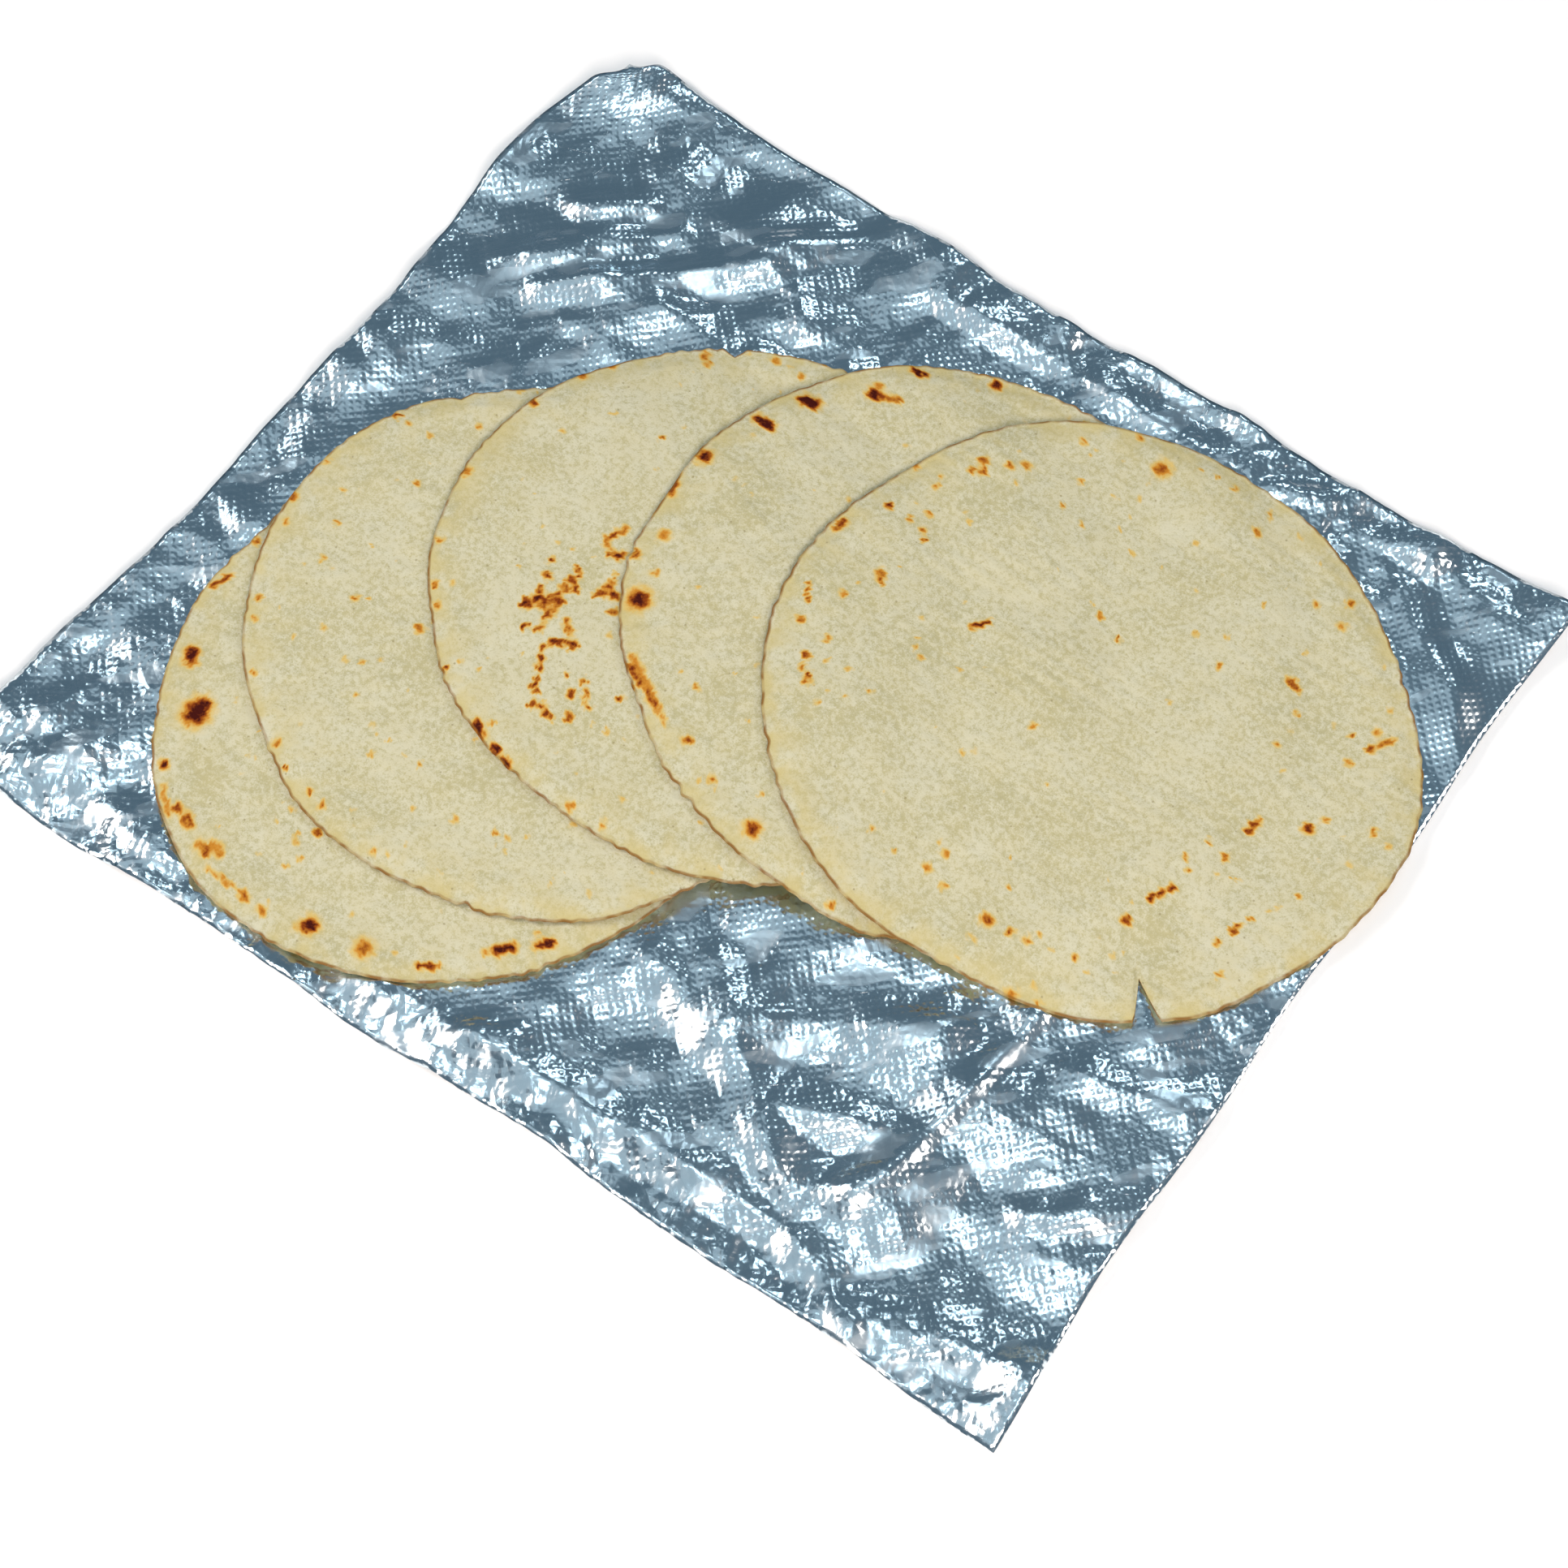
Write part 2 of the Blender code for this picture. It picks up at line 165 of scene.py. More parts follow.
def drape(support):
    """The underside of a soft sheet that lies on the support.

    At each place it is the highest of (support near by, less softness x distance squared).  A
    blur then rounds the foot of each step, and the sheet is never let below the support.
    """
    heights = support.copy()
    for axis in (0, 1):
        best = heights.copy()
        for steps in steps_within(DRAPE_REACH):
            fall = DRAPE_SOFTNESS * (steps * MAP_STEP) ** 2
            best = np.maximum(best, slide(heights, steps, axis, FAR_BELOW) - fall)
        heights = best
    for axis in (0, 1):
        total = np.zeros_like(heights)
        weight = 0.0
        for steps in steps_within(BLUR_REACH):
            share = math.exp(-0.5 * (steps * MAP_STEP / DRAPE_BLUR) ** 2)
            total += share * slide(heights, steps, axis, 0.0)
            weight += share
        heights = total / weight
    clear = support.copy()
    for axis in (0, 1):
        spread = clear.copy()
        for steps in steps_within(CLEAR_REACH):
            spread = np.maximum(spread, slide(clear, steps, axis, FAR_BELOW))
        clear = spread
    return np.maximum(heights, clear)


MAP_X, MAP_Y = map_axes()
print("height map:", MAP_X.shape, "values")

# %% [markdown]
# The rims.  A hand pressed tortilla is only nearly round.  Its radius is the nominal one plus a few
# lobes: an oval is two lobes, a rounded triangle three, and so on.  Two of the rims have a nick,
# and the top one has a deep tear, each cut as a V.  The centres and the lobes are rounded results of
# a fit to the rims that the photograph shows, and the CAD model has the same ones.

# %% Rims of the five tortillas
TORTILLAS = [
    {"centre": (-60.7, -47.4), "spread": -0.1,
     "lobes": [(2, 2.15, 84), (3, 1.28, 19), (4, 0.41, 67), (5, 0.39, 22)],
     "flat": (172, 26, 5.2)},
    {"centre": (-52.2, -24.0), "spread": -1.6,
     "lobes": [(2, 1.25, 13), (3, 0.79, 69), (4, 0.37, 82), (5, 0.41, 26), (7, 0.50, 3)]},
    {"centre": (-22.4, 10.2), "spread": -2.4,
     "lobes": [(2, 1.55, 168), (3, 1.21, 77), (4, 0.45, 39), (5, 0.41, 20), (6, 0.33, 9)]},
    {"centre": (24.7, 31.0), "spread": 1.1,
     "lobes": [(2, 0.95, 154), (3, 0.29, 49), (4, 0.58, 30), (5, 0.52, 67), (8, 0.38, 26)]},
    {"centre": (66.4, 36.7), "spread": 3.4,
     "lobes": [(2, 2.20, 174), (3, 1.25, 112), (4, 0.40, 32), (5, 0.29, 18), (6, 0.90, 12)]},
]
NUMBERS = range(1, len(TORTILLAS) + 1)
RIM_CUTS = [
    {"tortilla": 2, "direction": 145.0, "half_width": 3.0, "depth": 1.3},
    {"tortilla": 3, "direction": 125.0, "half_width": 2.4, "depth": 2.4},
    {"tortilla": 5, "direction": 313.0, "half_width": 2.3, "depth": 11.5},
]
RIM_WANDER = 0.3
RIM_WANDER_COUNTS = range(9, 18)
SCALLOP = 0.30                 # the crumbly cut of the rim, too fine for the CAD solids
SCALLOP_COUNTS = range(31, 140, 7)
WAVE_SHARES = (0.4, 1.0)       # chance makes each wave between these shares of its full height
STRETCH_LEVEL = 0.55           # the raggedness rises and falls around this level
STRETCH_SWING = 0.45
STRETCH_COUNTS = (3, 5)


def turn_between(angle, direction):
    """How far an angle in radians is from a direction in degrees, the short way round."""
    return np.abs((angle - math.radians(direction) + math.pi) % (2 * math.pi) - math.pi)


def rim_radius(number, angle):
    """The rim's distance from the centre: the nominal radius, its lobes and a ragged wander."""
    shape = TORTILLAS[number - 1]
    radius = np.full_like(angle, TORTILLA_DIAMETER / 2 + shape["spread"])
    for count, height, direction in shape["lobes"]:
        radius += height * np.cos(count * (angle - math.radians(direction)))
    if "flat" in shape:
        direction, half_width, depth = shape["flat"]
        radius -= depth * smooth_step(1 - turn_between(angle, direction) / math.radians(half_width))
    draw = np.random.RandomState(SEED + number)
    for count in RIM_WANDER_COUNTS:
        height = RIM_WANDER / math.sqrt(len(RIM_WANDER_COUNTS)) * draw.uniform(*WAVE_SHARES)
        radius += height * np.cos(count * angle + draw.uniform(0, 2 * math.pi))
    return radius


def rim_scallop(number, angle):
    """The fine raggedness of the cut: many short waves, stronger in some stretches of the rim."""
    draw = np.random.RandomState(SEED * 7 + number)
    total = np.zeros_like(angle)
    for count in SCALLOP_COUNTS:
        total += draw.uniform(*WAVE_SHARES) * np.cos(count * angle + draw.uniform(0, 2 * math.pi))
    stretch = (STRETCH_LEVEL + STRETCH_SWING * np.sin(STRETCH_COUNTS[0] * angle + number)
               * np.sin(STRETCH_COUNTS[1] * angle + 2.0 * number))
    return SCALLOP * stretch * total / math.sqrt(len(SCALLOP_COUNTS) / 2)


def rim_cut(number, angle):
    """How deep the nicks and the tear cut into the rim: each is a V."""
    depth = np.zeros_like(angle)
    for cut in RIM_CUTS:
        if cut["tortilla"] == number:
            off = turn_between(angle, cut["direction"])
            depth += cut["depth"] * np.clip(1 - off / math.radians(cut["half_width"]), 0, 1)
    return depth


def covered_by(number, x, y, spare=0.0):
    """True where the tortilla lies, spare millimetres past its rim included."""
    cx, cy = TORTILLAS[number - 1]["centre"]
    angle = np.arctan2(y - cy, x - cx)
    return np.hypot(x - cx, y - cy) < rim_radius(number, angle) - rim_cut(number, angle) + spare


def distance_inside(number, x, y):
    """How far a place is inside the tortilla's rim, along its own radius."""
    cx, cy = TORTILLAS[number - 1]["centre"]
    angle = np.arctan2(y - cy, x - cx)
    return rim_radius(number, angle) - rim_cut(number, angle) - np.hypot(x - cx, y - cy)


print("tortillas:", len(TORTILLAS), "of about", TORTILLA_DIAMETER, "mm")

# %% [markdown]
# The foil's plan and its main folds, as in the CAD model.  The sheet was smoothed out by hand after
# crumpling, so long soft folds remain between the corners, and the cut edges lift off the table.

# %% The foil's outline and large folds
FOIL_CORNERS = {
    "near_left": (-5.2, -3.2, 2.0),
    "near_right": (0.2, 2.0, 3.2),
    "far_left": (1.0, -1.5, 3.6),
    "far_right": (-1.0, 1.0, 2.0),
}
CORNER_LIFT_REACH = 34.0
FOIL_DRAWN_IN = {"left": 4.0, "right": 2.4, "near": 0.8, "far": 2.2}
EDGE_WAVE = 0.8
EDGE_WAVE_POWER = 5            # the wander of an edge dies out inwards with this power
# radians along the edge, phase, turn across the sheet and height of the sines an edge wanders on
SIDE_SINES = [(19.0, 0.0, 1.1, 1.0), (7.0, 2.0, 1.0, 0.8)]
NEAR_AND_FAR_SINES = [(21.0, 0.0, 0.7, 1.0), (9.0, 0.5, 1.0, 0.6)]
EDGE_LIFT = 1.2
EDGE_LIFT_REACH = 13.0
FLUTTER_LEVEL = 0.55           # the lift of the edges flutters around this share
FLUTTER_SWING = 0.45
FLUTTER_LENGTHS = (9.0, 8.0)
FAR_LEFT_TURNS = [((8.5, -2.0), 33.0), ((3.5, -4.5), 14.0)]
FOIL_FOLDS = [
    ((99, -35), (97, -60), 2.0, 8),
    ((97, -60), (89, -97), 2.0, 8),
    ((-129, 58), (-97, 90), 1.5, 7),
    ((-116, 56), (-72, 96), 1.8, 7),
    ((-123, 82), (-108, 92), 1.3, 6),
    ((-74, 99), (-50, 125), 1.6, 7),
    ((42, -78), (86, -47), 1.8, 9),
    ((62, -88), (83, -80), 1.5, 8),
    ((29, -67), (80, -109), 1.6, 7),
    ((17, -75), (37, -84), 1.3, 6),
    ((112, -42), (140, -35), 1.3, 7),
    ((125, -77), (146, -61), 1.5, 7),
    ((-110, -119), (-11, -117), 1.8, 7),
    ((-11, -117), (80, -112), 2.0, 7),
    ((80, -112), (107, -122), 1.8, 7),
    ((111, -119), (146, -108), 1.4, 7),
    ((-30, 114), (51, 117), 1.6, 6),
    ((51, 117), (111, 121), 1.6, 6),
    ((102, 114), (135, 94), 1.5, 7),
    ((135, 94), (146, 76), 1.3, 7),
    ((-140, -109), (-130, -69), 1.6, 8),
    ((-134, -123), (-120, -100), 1.5, 7),
    ((-131, -36), (-139, 21), 1.5, 8),
]
FOIL_WAVE = 0.5
FOIL_WAVES = [(46, 20), (37, 75), (58, 130), (29, 160), (33, 105)]
PRESSED = 0.2
PRESS_REACH = 12.0
PRESS_STEPS = 5


def edge_wander(along, across, sines):
    """The sum of height x sin(waves x along + phase + turn x across)."""
    return sum(height * np.sin(waves * along + phase + turn * across)
               for waves, phase, turn, height in sines)


def foil_place(u, v):
    """Where the sheet's point (u, v), both 0 to 1, lies on the table.

    The four corners are joined straight, each edge is drawn in along a parabola and wanders on
    sines, and the far left corner is turned in, less and less with the distance from it.
    """
    half = np.array([FOIL_LENGTH / 2, FOIL_WIDTH / 2])
    near_left, near_right, far_left, far_right = [
        np.array([sx * half[0] + FOIL_CORNERS[name][0], sy * half[1] + FOIL_CORNERS[name][1]])
        for name, sx, sy in (("near_left", -1, -1), ("near_right", 1, -1),
                             ("far_left", -1, 1), ("far_right", 1, 1))]
    place = ((1 - u)[..., None] * (1 - v)[..., None] * near_left
             + u[..., None] * (1 - v)[..., None] * near_right
             + (1 - u)[..., None] * v[..., None] * far_left
             + u[..., None] * v[..., None] * far_right)
    x = place[..., 0]
    y = place[..., 1]
    side_x = 2 * u - 1
    side_y = 2 * v - 1
    x = x + (1 - side_y ** 2) * (FOIL_DRAWN_IN["left"] * (1 - u) - FOIL_DRAWN_IN["right"] * u)
    y = y + (1 - side_x ** 2) * (FOIL_DRAWN_IN["near"] * (1 - v) - FOIL_DRAWN_IN["far"] * v)
    x = x + EDGE_WAVE * side_x ** EDGE_WAVE_POWER * edge_wander(v, side_x, SIDE_SINES)
    y = y + EDGE_WAVE * side_y ** EDGE_WAVE_POWER * edge_wander(u, side_y, NEAR_AND_FAR_SINES)
    from_corner = np.hypot(u * FOIL_LENGTH, (1 - v) * FOIL_WIDTH)
    for (dx, dy), reach in FAR_LEFT_TURNS:
        turned = smooth_step(1 - from_corner / reach)
        x = x + dx * turned
        y = y + dy * turned
    return x, y


def distance_to_edge(x, y):
    """How far a place is inside the plain rectangle, negative outside it."""
    return np.minimum(FOIL_LENGTH / 2 - np.abs(x), FOIL_WIDTH / 2 - np.abs(y))


def fold_height(x, y):
    """The long folds: each is a tent along its line that fades towards both ends."""
    total = np.zeros_like(x)
    for start, end, height, half_width in FOIL_FOLDS:
        along = np.subtract(end, start)
        length = np.hypot(*along)
        along = along / length
        dx = x - start[0]
        dy = y - start[1]
        t = dx * along[0] + dy * along[1]
        off = np.abs(dy * along[0] - dx * along[1])
        ridge = np.clip(1 - off / half_width, 0, 1)
        ends = smooth_step(t / half_width + 1) * smooth_step((length - t) / half_width + 1)
        total = np.maximum(total, height * ridge * ends)
    return total


def foil_relief(x, y, covered):
    """The foil's underside above the table, before it is set down: waves, folds and lifted edges.

    covered is 1 beneath the stack, where most of the relief is pressed flat.
    """
    waves = np.zeros_like(x)
    for count, (length, direction) in enumerate(FOIL_WAVES):
        angle = math.radians(direction)
        waves += np.sin(2 * math.pi * (x * math.cos(angle) + y * math.sin(angle)) / length + count)
    relief = FOIL_WAVE * waves + fold_height(x, y)
    inside = distance_to_edge(x, y)
    flutter = (FLUTTER_LEVEL + FLUTTER_SWING * np.sin(x / FLUTTER_LENGTHS[0] + 1.0)
               * np.sin(y / FLUTTER_LENGTHS[1]))
    relief = relief + EDGE_LIFT * flutter * smooth_step(1 - inside / EDGE_LIFT_REACH)
    for name, (dx, dy, lift) in FOIL_CORNERS.items():
        corner_x = (1 if "right" in name else -1) * FOIL_LENGTH / 2 + dx
        corner_y = (1 if "far" in name else -1) * FOIL_WIDTH / 2 + dy
        away = np.hypot(x - corner_x, y - corner_y)
        relief = relief + lift * smooth_step(1 - away / CORNER_LIFT_REACH)
    return relief * (1 - (1 - PRESSED) * covered)


def pressed_share():
    """The map of how far the stack presses the foil flat: 1 beneath it, in steps to 0 around it."""
    share = np.zeros_like(MAP_X)
    for number in NUMBERS:
        for step in range(PRESS_STEPS):
            spare = PRESS_REACH * step / (PRESS_STEPS - 1)
            weight = 1 - step / PRESS_STEPS
            share = np.maximum(share, weight * covered_by(number, MAP_X, MAP_Y, spare))
    return share


PRESS_MAP = pressed_share()
CAD_CELLS = (38, 34)           # the grid of the CAD foil, whose lowest point touches the table
cad_u, cad_v = np.meshgrid(np.linspace(0, 1, CAD_CELLS[0] + 1), np.linspace(0, 1, CAD_CELLS[1] + 1))
cad_x, cad_y = foil_place(cad_u, cad_v)
SET_DOWN = foil_relief(cad_x, cad_y, read_map(PRESS_MAP, cad_x, cad_y)).min()
foil_low, foil_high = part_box("foil_sheet")
SHIFT = np.array([(foil_low[0] + foil_high[0]) / 2 / MM - (cad_x.min() + cad_x.max()) / 2,
                  (foil_low[1] + foil_high[1]) / 2 / MM - (cad_y.min() + cad_y.max()) / 2, 0.0])
print("the frame lies", SHIFT.round(2), "mm from the plan's own middle")

# %% [markdown]
# The tortillas are laid down one by one, lowest first.  Each one's underside is the drape of what
# is already there, and its top becomes the support of the next.

# %% Lay down the pile
BUBBLE = 0.25
BUBBLE_WAVES = 5
BUBBLE_LENGTHS = (22, 45)


def unevenness(number, x, y):
    """Low bubbles: the mean of a few sine waves in chance directions, raised to stay above 0."""
    draw = np.random.RandomState(SEED * 3 + number)
    total = np.zeros_like(x)
    for _ in range(BUBBLE_WAVES):
        angle = draw.uniform(0, 2 * math.pi)
        length = draw.uniform(*BUBBLE_LENGTHS)
        phase = draw.uniform(0, 2 * math.pi)
        total += np.sin(2 * math.pi * (x * math.cos(angle) + y * math.sin(angle)) / length + phase)
    return BUBBLE * (total / BUBBLE_WAVES + 1) / 2


pile_top = foil_relief(MAP_X, MAP_Y, PRESS_MAP) - SET_DOWN + FOIL_THICKNESS
UNDERSIDES = {}
for number in NUMBERS:
    UNDERSIDES[number] = drape(pile_top) + GAP + unevenness(number, MAP_X, MAP_Y)
    lies_here = covered_by(number, MAP_X, MAP_Y, spare=MAP_STEP)
    pile_top = np.where(lies_here, UNDERSIDES[number] + TORTILLA_THICKNESS, pile_top)
print("highest point of the pile:", round(float(pile_top.max()), 1), "mm")

# %% [markdown]
# The camera stands where the photographer's did, so a place in the picture can be turned into a
# place on the object.  Azimuth and elevation give the direction to the camera, the lens gives how
# much the sheet narrows with distance, and a slight roll levels the picture.

# %% Camera
PHOTO_SIDE = 1932              # the photograph is square, this many pixels each way
CAMERA_AZIMUTH = 34.51
CAMERA_ELEVATION = 65.49
CAMERA_ROLL = 1.03
CAMERA_DISTANCE = 976.0
CAMERA_AIM = np.array([15.1, -20.0, 0.0])      # from the middle of the foil's plan
LENS = 92.57
SENSOR = 36.0
HEIGHT_GUESS = 6.0             # where the search for a pixel's place on the pile starts
HEIGHT_ROUNDS = 4


def camera_axes():
    """The directions to the camera's right, its top and behind it, as unit vectors."""
    azimuth = math.radians(CAMERA_AZIMUTH)
    elevation = math.radians(CAMERA_ELEVATION)
    roll = math.radians(CAMERA_ROLL)
    back = np.array([math.sin(azimuth) * math.cos(elevation),
                     -math.cos(azimuth) * math.cos(elevation), math.sin(elevation)])
    right = np.array([math.cos(azimuth), math.sin(azimuth), 0.0])
    top = np.cross(back, right)
    return (right * math.cos(roll) + top * math.sin(roll),
            top * math.cos(roll) - right * math.sin(roll), back)


def place_of_pixel(column, row):
    """The x and y on top of the pile that the photograph shows at a pixel.

    The ray through the pixel is cut with a level plane, whose height is then read from the pile
    at that place, a few times over.
    """
    right, top, back = camera_axes()
    eye = CAMERA_AIM + back * CAMERA_DISTANCE
    reach = PHOTO_SIDE * LENS / SENSOR
    ray = (-back + right * (column - PHOTO_SIDE / 2) / reach - top * (row - PHOTO_SIDE / 2) / reach)
    height = HEIGHT_GUESS
    for _ in range(HEIGHT_ROUNDS):
        place = eye + ray * (height - eye[2]) / ray[2]
        height = float(read_map(pile_top, place[0], place[1]))
    return place[:2]


def add_camera():
    """The camera as an object, turned so that its own axes are the three above."""
    right, top, back = camera_axes()
    eye = (CAMERA_AIM + SHIFT + back * CAMERA_DISTANCE) * MM
    data = bpy.data.cameras.new("photo camera")
    data.lens = LENS
    data.sensor_width = SENSOR
    camera = bpy.data.objects.new("photo camera", data)
    matrix = np.eye(4)
    matrix[:3, 0] = right
    matrix[:3, 1] = top
    matrix[:3, 2] = back
    matrix[:3, 3] = eye
    camera.matrix_world = Matrix(matrix.tolist())
    bpy.context.scene.collection.objects.link(camera)
    bpy.context.scene.camera = camera
    return camera


camera = add_camera()
print("camera at", [round(value, 3) for value in camera.location])

# %% [markdown]
# Toasted spots.  A tortilla is baked on a hot plate, and browns where a blister touches it: a dark
# core, then brown, then an orange and a yellow halo.  The spots are named by where the photograph
# shows them, with their width in millimetres and how far they are toasted, from 0 to 1.  A streak
# has two ends.  Blender could paint such spots by hand in Texture Paint, but a list of places can
# be read and changed.

# %% Places of the toasted spots
# column, row, width, degree; a streak has its second end after these
TOASTED = {
    1: [
        (236, 803, 3.2, 0.95, 235, 812), (240, 880, 5.4, 1.0), (249, 869, 4.0, 0.9),
        (202, 941, 2.4, 0.95), (202, 968, 2.0, 0.35), (218, 995, 2.6, 0.7),
        (231, 1007, 2.6, 0.7, 233, 1014), (253, 1050, 2.6, 0.62), (245, 1040, 3.0, 0.4, 268, 1043),
        (272, 1053, 2.0, 0.5), (302, 1105, 2.2, 0.62), (322, 1122, 2.4, 0.62), (381, 1140, 4.0, 0.95),
        (448, 1168, 4.6, 0.6), (516, 1190, 1.8, 0.75, 536, 1190), (612, 1171, 2.4, 0.9, 630, 1167),
        (662, 1165, 2.2, 0.85, 680, 1161), (391, 1026, 2.0, 0.65), (365, 1037, 2.0, 0.35),
        (262, 720, 1.8, 0.7, 284, 708), (317, 665, 2.2, 0.6), (200, 975, 1.6, 0.4, 206, 1000),
        (255, 1070, 1.4, 0.42, 300, 1100),
    ],
    2: [
        (318, 736, 1.8, 0.6), (416, 644, 1.8, 0.5), (398, 687, 1.8, 0.4), (438, 737, 1.8, 0.6),
        (398, 773, 2.0, 0.35), (425, 813, 1.8, 0.35), (312, 827, 1.6, 0.55), (314, 762, 1.8, 0.4),
        (341, 914, 2.2, 0.5), (350, 945, 1.0, 1.0), (382, 975, 1.6, 0.6), (396, 992, 2.0, 0.6),
        (457, 930, 1.6, 0.45), (517, 942, 1.6, 0.5), (560, 1010, 1.8, 0.4), (517, 775, 2.4, 0.55),
        (609, 1026, 1.6, 0.4), (461, 1048, 2.0, 0.55), (490, 510, 1.8, 0.8), (504, 521, 1.4, 0.5),
        (529, 536, 1.6, 0.45), (590, 525, 1.6, 0.45), (514, 595, 1.8, 0.5), (360, 610, 2.4, 0.6),
        (402, 567, 1.6, 0.55), (465, 905, 1.6, 0.3), (424, 604, 1.6, 0.4), (352, 641, 1.8, 0.5),
    ],
    3: [
        (657, 493, 2.2, 0.75), (718, 461, 2.2, 0.75), (755, 449, 1.8, 0.7), (868, 438, 2.6, 0.6),
        (874, 448, 2.0, 0.5), (956, 442, 2.4, 0.45), (988, 464, 1.8, 0.45), (574, 579, 2.6, 0.6),
        (541, 664, 2.0, 0.55), (535, 718, 1.8, 0.75), (538, 744, 1.8, 0.55), (550, 822, 1.4, 0.95),
        (815, 539, 1.2, 0.9), (587, 891, 2.3, 0.88, 592, 905), (609, 919, 1.8, 0.9, 612, 923),
        (621, 934, 1.6, 0.88, 627, 943), (703, 991, 1.8, 0.5), (743, 1018, 1.8, 0.45),
        (763, 861, 1.6, 0.85),
    ],
    4: [
        (787, 738, 5.0, 1.0), (868, 561, 3.6, 0.95), (934, 514, 2.6, 0.9, 950, 526),
        (992, 492, 3.4, 1.0, 1003, 497), (1077, 484, 3.4, 0.95), (1085, 488, 2.0, 0.55, 1107, 494),
        (1126, 454, 2.2, 0.9, 1139, 461), (1228, 474, 3.0, 0.85), (1338, 517, 2.0, 0.6),
        (835, 576, 2.4, 0.7, 827, 604), (804, 631, 2.0, 0.5), (818, 659, 3.4, 0.45),
        (783, 681, 2.4, 0.7), (780, 808, 2.4, 0.42, 806, 862), (776, 818, 1.3, 0.72, 788, 841),
        (796, 851, 1.2, 0.6, 804, 866), (808, 868, 1.8, 0.38, 819, 891), (777, 851, 1.8, 0.95),
        (846, 912, 2.2, 0.6), (876, 960, 2.2, 0.6), (927, 1021, 4.0, 0.75), (1024, 1114, 2.0, 0.6),
    ],
    5: [
        (979, 687, 2.0, 0.75), (996, 716, 1.2, 0.6, 994, 740), (987, 763, 1.8, 0.6),
        (1018, 787, 1.8, 0.55), (993, 806, 2.0, 0.65), (988, 821, 1.6, 0.6), (995, 831, 1.8, 0.95),
        (995, 841, 1.6, 0.7), (1019, 814, 1.6, 0.4), (1085, 705, 2.2, 0.6), (1086, 716, 2.0, 0.65),
        (1039, 733, 1.8, 0.45), (1031, 649, 2.2, 0.7, 1040, 640), (1072, 852, 1.8, 0.45),
        (1129, 573, 1.8, 0.6), (1160, 588, 1.6, 0.5), (1154, 600, 1.6, 0.55), (1198, 579, 2.0, 0.6),
        (1212, 568, 2.4, 0.65), (1211, 581, 2.0, 0.65), (1244, 573, 2.0, 0.6), (1265, 573, 2.6, 0.45),
        (1336, 544, 2.0, 0.45), (1405, 537, 1.8, 0.6), (1432, 578, 4.4, 0.6), (1478, 577, 1.4, 0.4),
        (1500, 587, 1.4, 0.65), (1309, 622, 1.8, 0.5), (1333, 647, 1.6, 0.4), (1145, 633, 1.6, 0.55),
        (1122, 639, 1.4, 0.5), (1137, 653, 1.6, 0.8), (1140, 666, 1.4, 0.8), (1096, 623, 1.8, 0.85),
        (1200, 771, 1.8, 0.85, 1218, 767), (1355, 759, 1.6, 0.5), (1379, 787, 1.1, 1.0),
        (1134, 810, 1.6, 0.4), (1622, 744, 1.8, 0.55), (1665, 744, 2.2, 0.65), (1654, 772, 2.6, 0.4),
        (1503, 821, 1.8, 0.55), (1588, 838, 2.0, 0.62, 1600, 850), (1598, 880, 1.8, 0.5),
        (1696, 902, 2.2, 0.5), (1665, 905, 1.3, 0.85), (1689, 923, 2.2, 0.62),
        (1700, 918, 1.8, 0.55, 1716, 913), (1661, 940, 2.2, 0.45), (1573, 916, 1.8, 0.55),
        (1538, 1024, 2.0, 0.72, 1550, 1012), (1612, 1021, 2.6, 0.78), (1633, 1010, 2.0, 0.5),
        (1693, 1026, 1.8, 0.72), (1710, 1044, 1.6, 0.4), (1489, 1037, 1.6, 0.5), (1510, 1056, 2.0, 0.6),
        (1461, 1056, 1.6, 0.5), (1465, 1073, 1.6, 0.6), (1416, 1107, 1.6, 0.78, 1446, 1093),
        (1387, 1133, 2.4, 0.72), (1216, 1133, 3.0, 0.68), (1244, 1149, 1.8, 0.72),
        (1265, 1158, 2.2, 0.5), (1282, 1151, 1.6, 0.4), (1324, 1180, 1.4, 0.6), (1247, 1224, 3.0, 0.5),
        (1279, 1235, 1.6, 0.5), (1517, 1149, 1.4, 0.66, 1528, 1140), (1542, 1133, 1.4, 0.62),
        (1573, 1119, 1.4, 0.55), (1601, 1104, 1.4, 0.5), (1500, 1161, 1.8, 0.6),
        (1503, 1200, 1.8, 0.55), (1075, 1021, 2.0, 0.5), (1142, 1069, 2.4, 0.5), (1166, 1052, 2.0, 0.5),
        (1163, 1091, 2.0, 0.45), (1272, 895, 2.0, 0.4), (1549, 656, 2.2, 0.5), (1563, 631, 1.4, 0.5),
        (1521, 603, 1.8, 0.4),
    ],
}

# The third tortilla's blister that burst: a branching cluster of small burnt flecks
FLECKS = [
    (681, 689), (675, 709), (667, 725), (659, 738), (647, 746), (712, 701), (706, 717), (698, 725),
    (688, 730), (679, 742), (675, 754), (684, 750), (753, 660), (760, 656), (747, 666), (770, 652),
    (751, 684), (766, 684), (733, 734), (741, 730), (749, 721), (757, 713), (753, 730), (760, 734),
    (753, 754), (698, 767), (700, 775), (647, 771), (661, 775), (667, 799), (679, 791), (688, 791),
    (698, 791), (706, 793), (667, 812), (665, 824), (661, 836), (655, 843), (659, 853), (655, 865),
    (667, 869), (671, 877), (679, 882), (698, 830), (704, 857), (720, 838), (723, 853), (725, 871),
    (700, 882), (647, 738), (653, 744), (665, 736), (671, 742), (690, 740), (694, 721), (702, 713),
    (710, 725), (716, 709), (671, 748), (679, 734),
]
FLECK_WIDTHS = (1.1, 2.2)
FLECK_DEGREES = (0.5, 0.85)
FLECK_STRETCH = 0.9            # how far off a fleck's second end may be, along x and along y
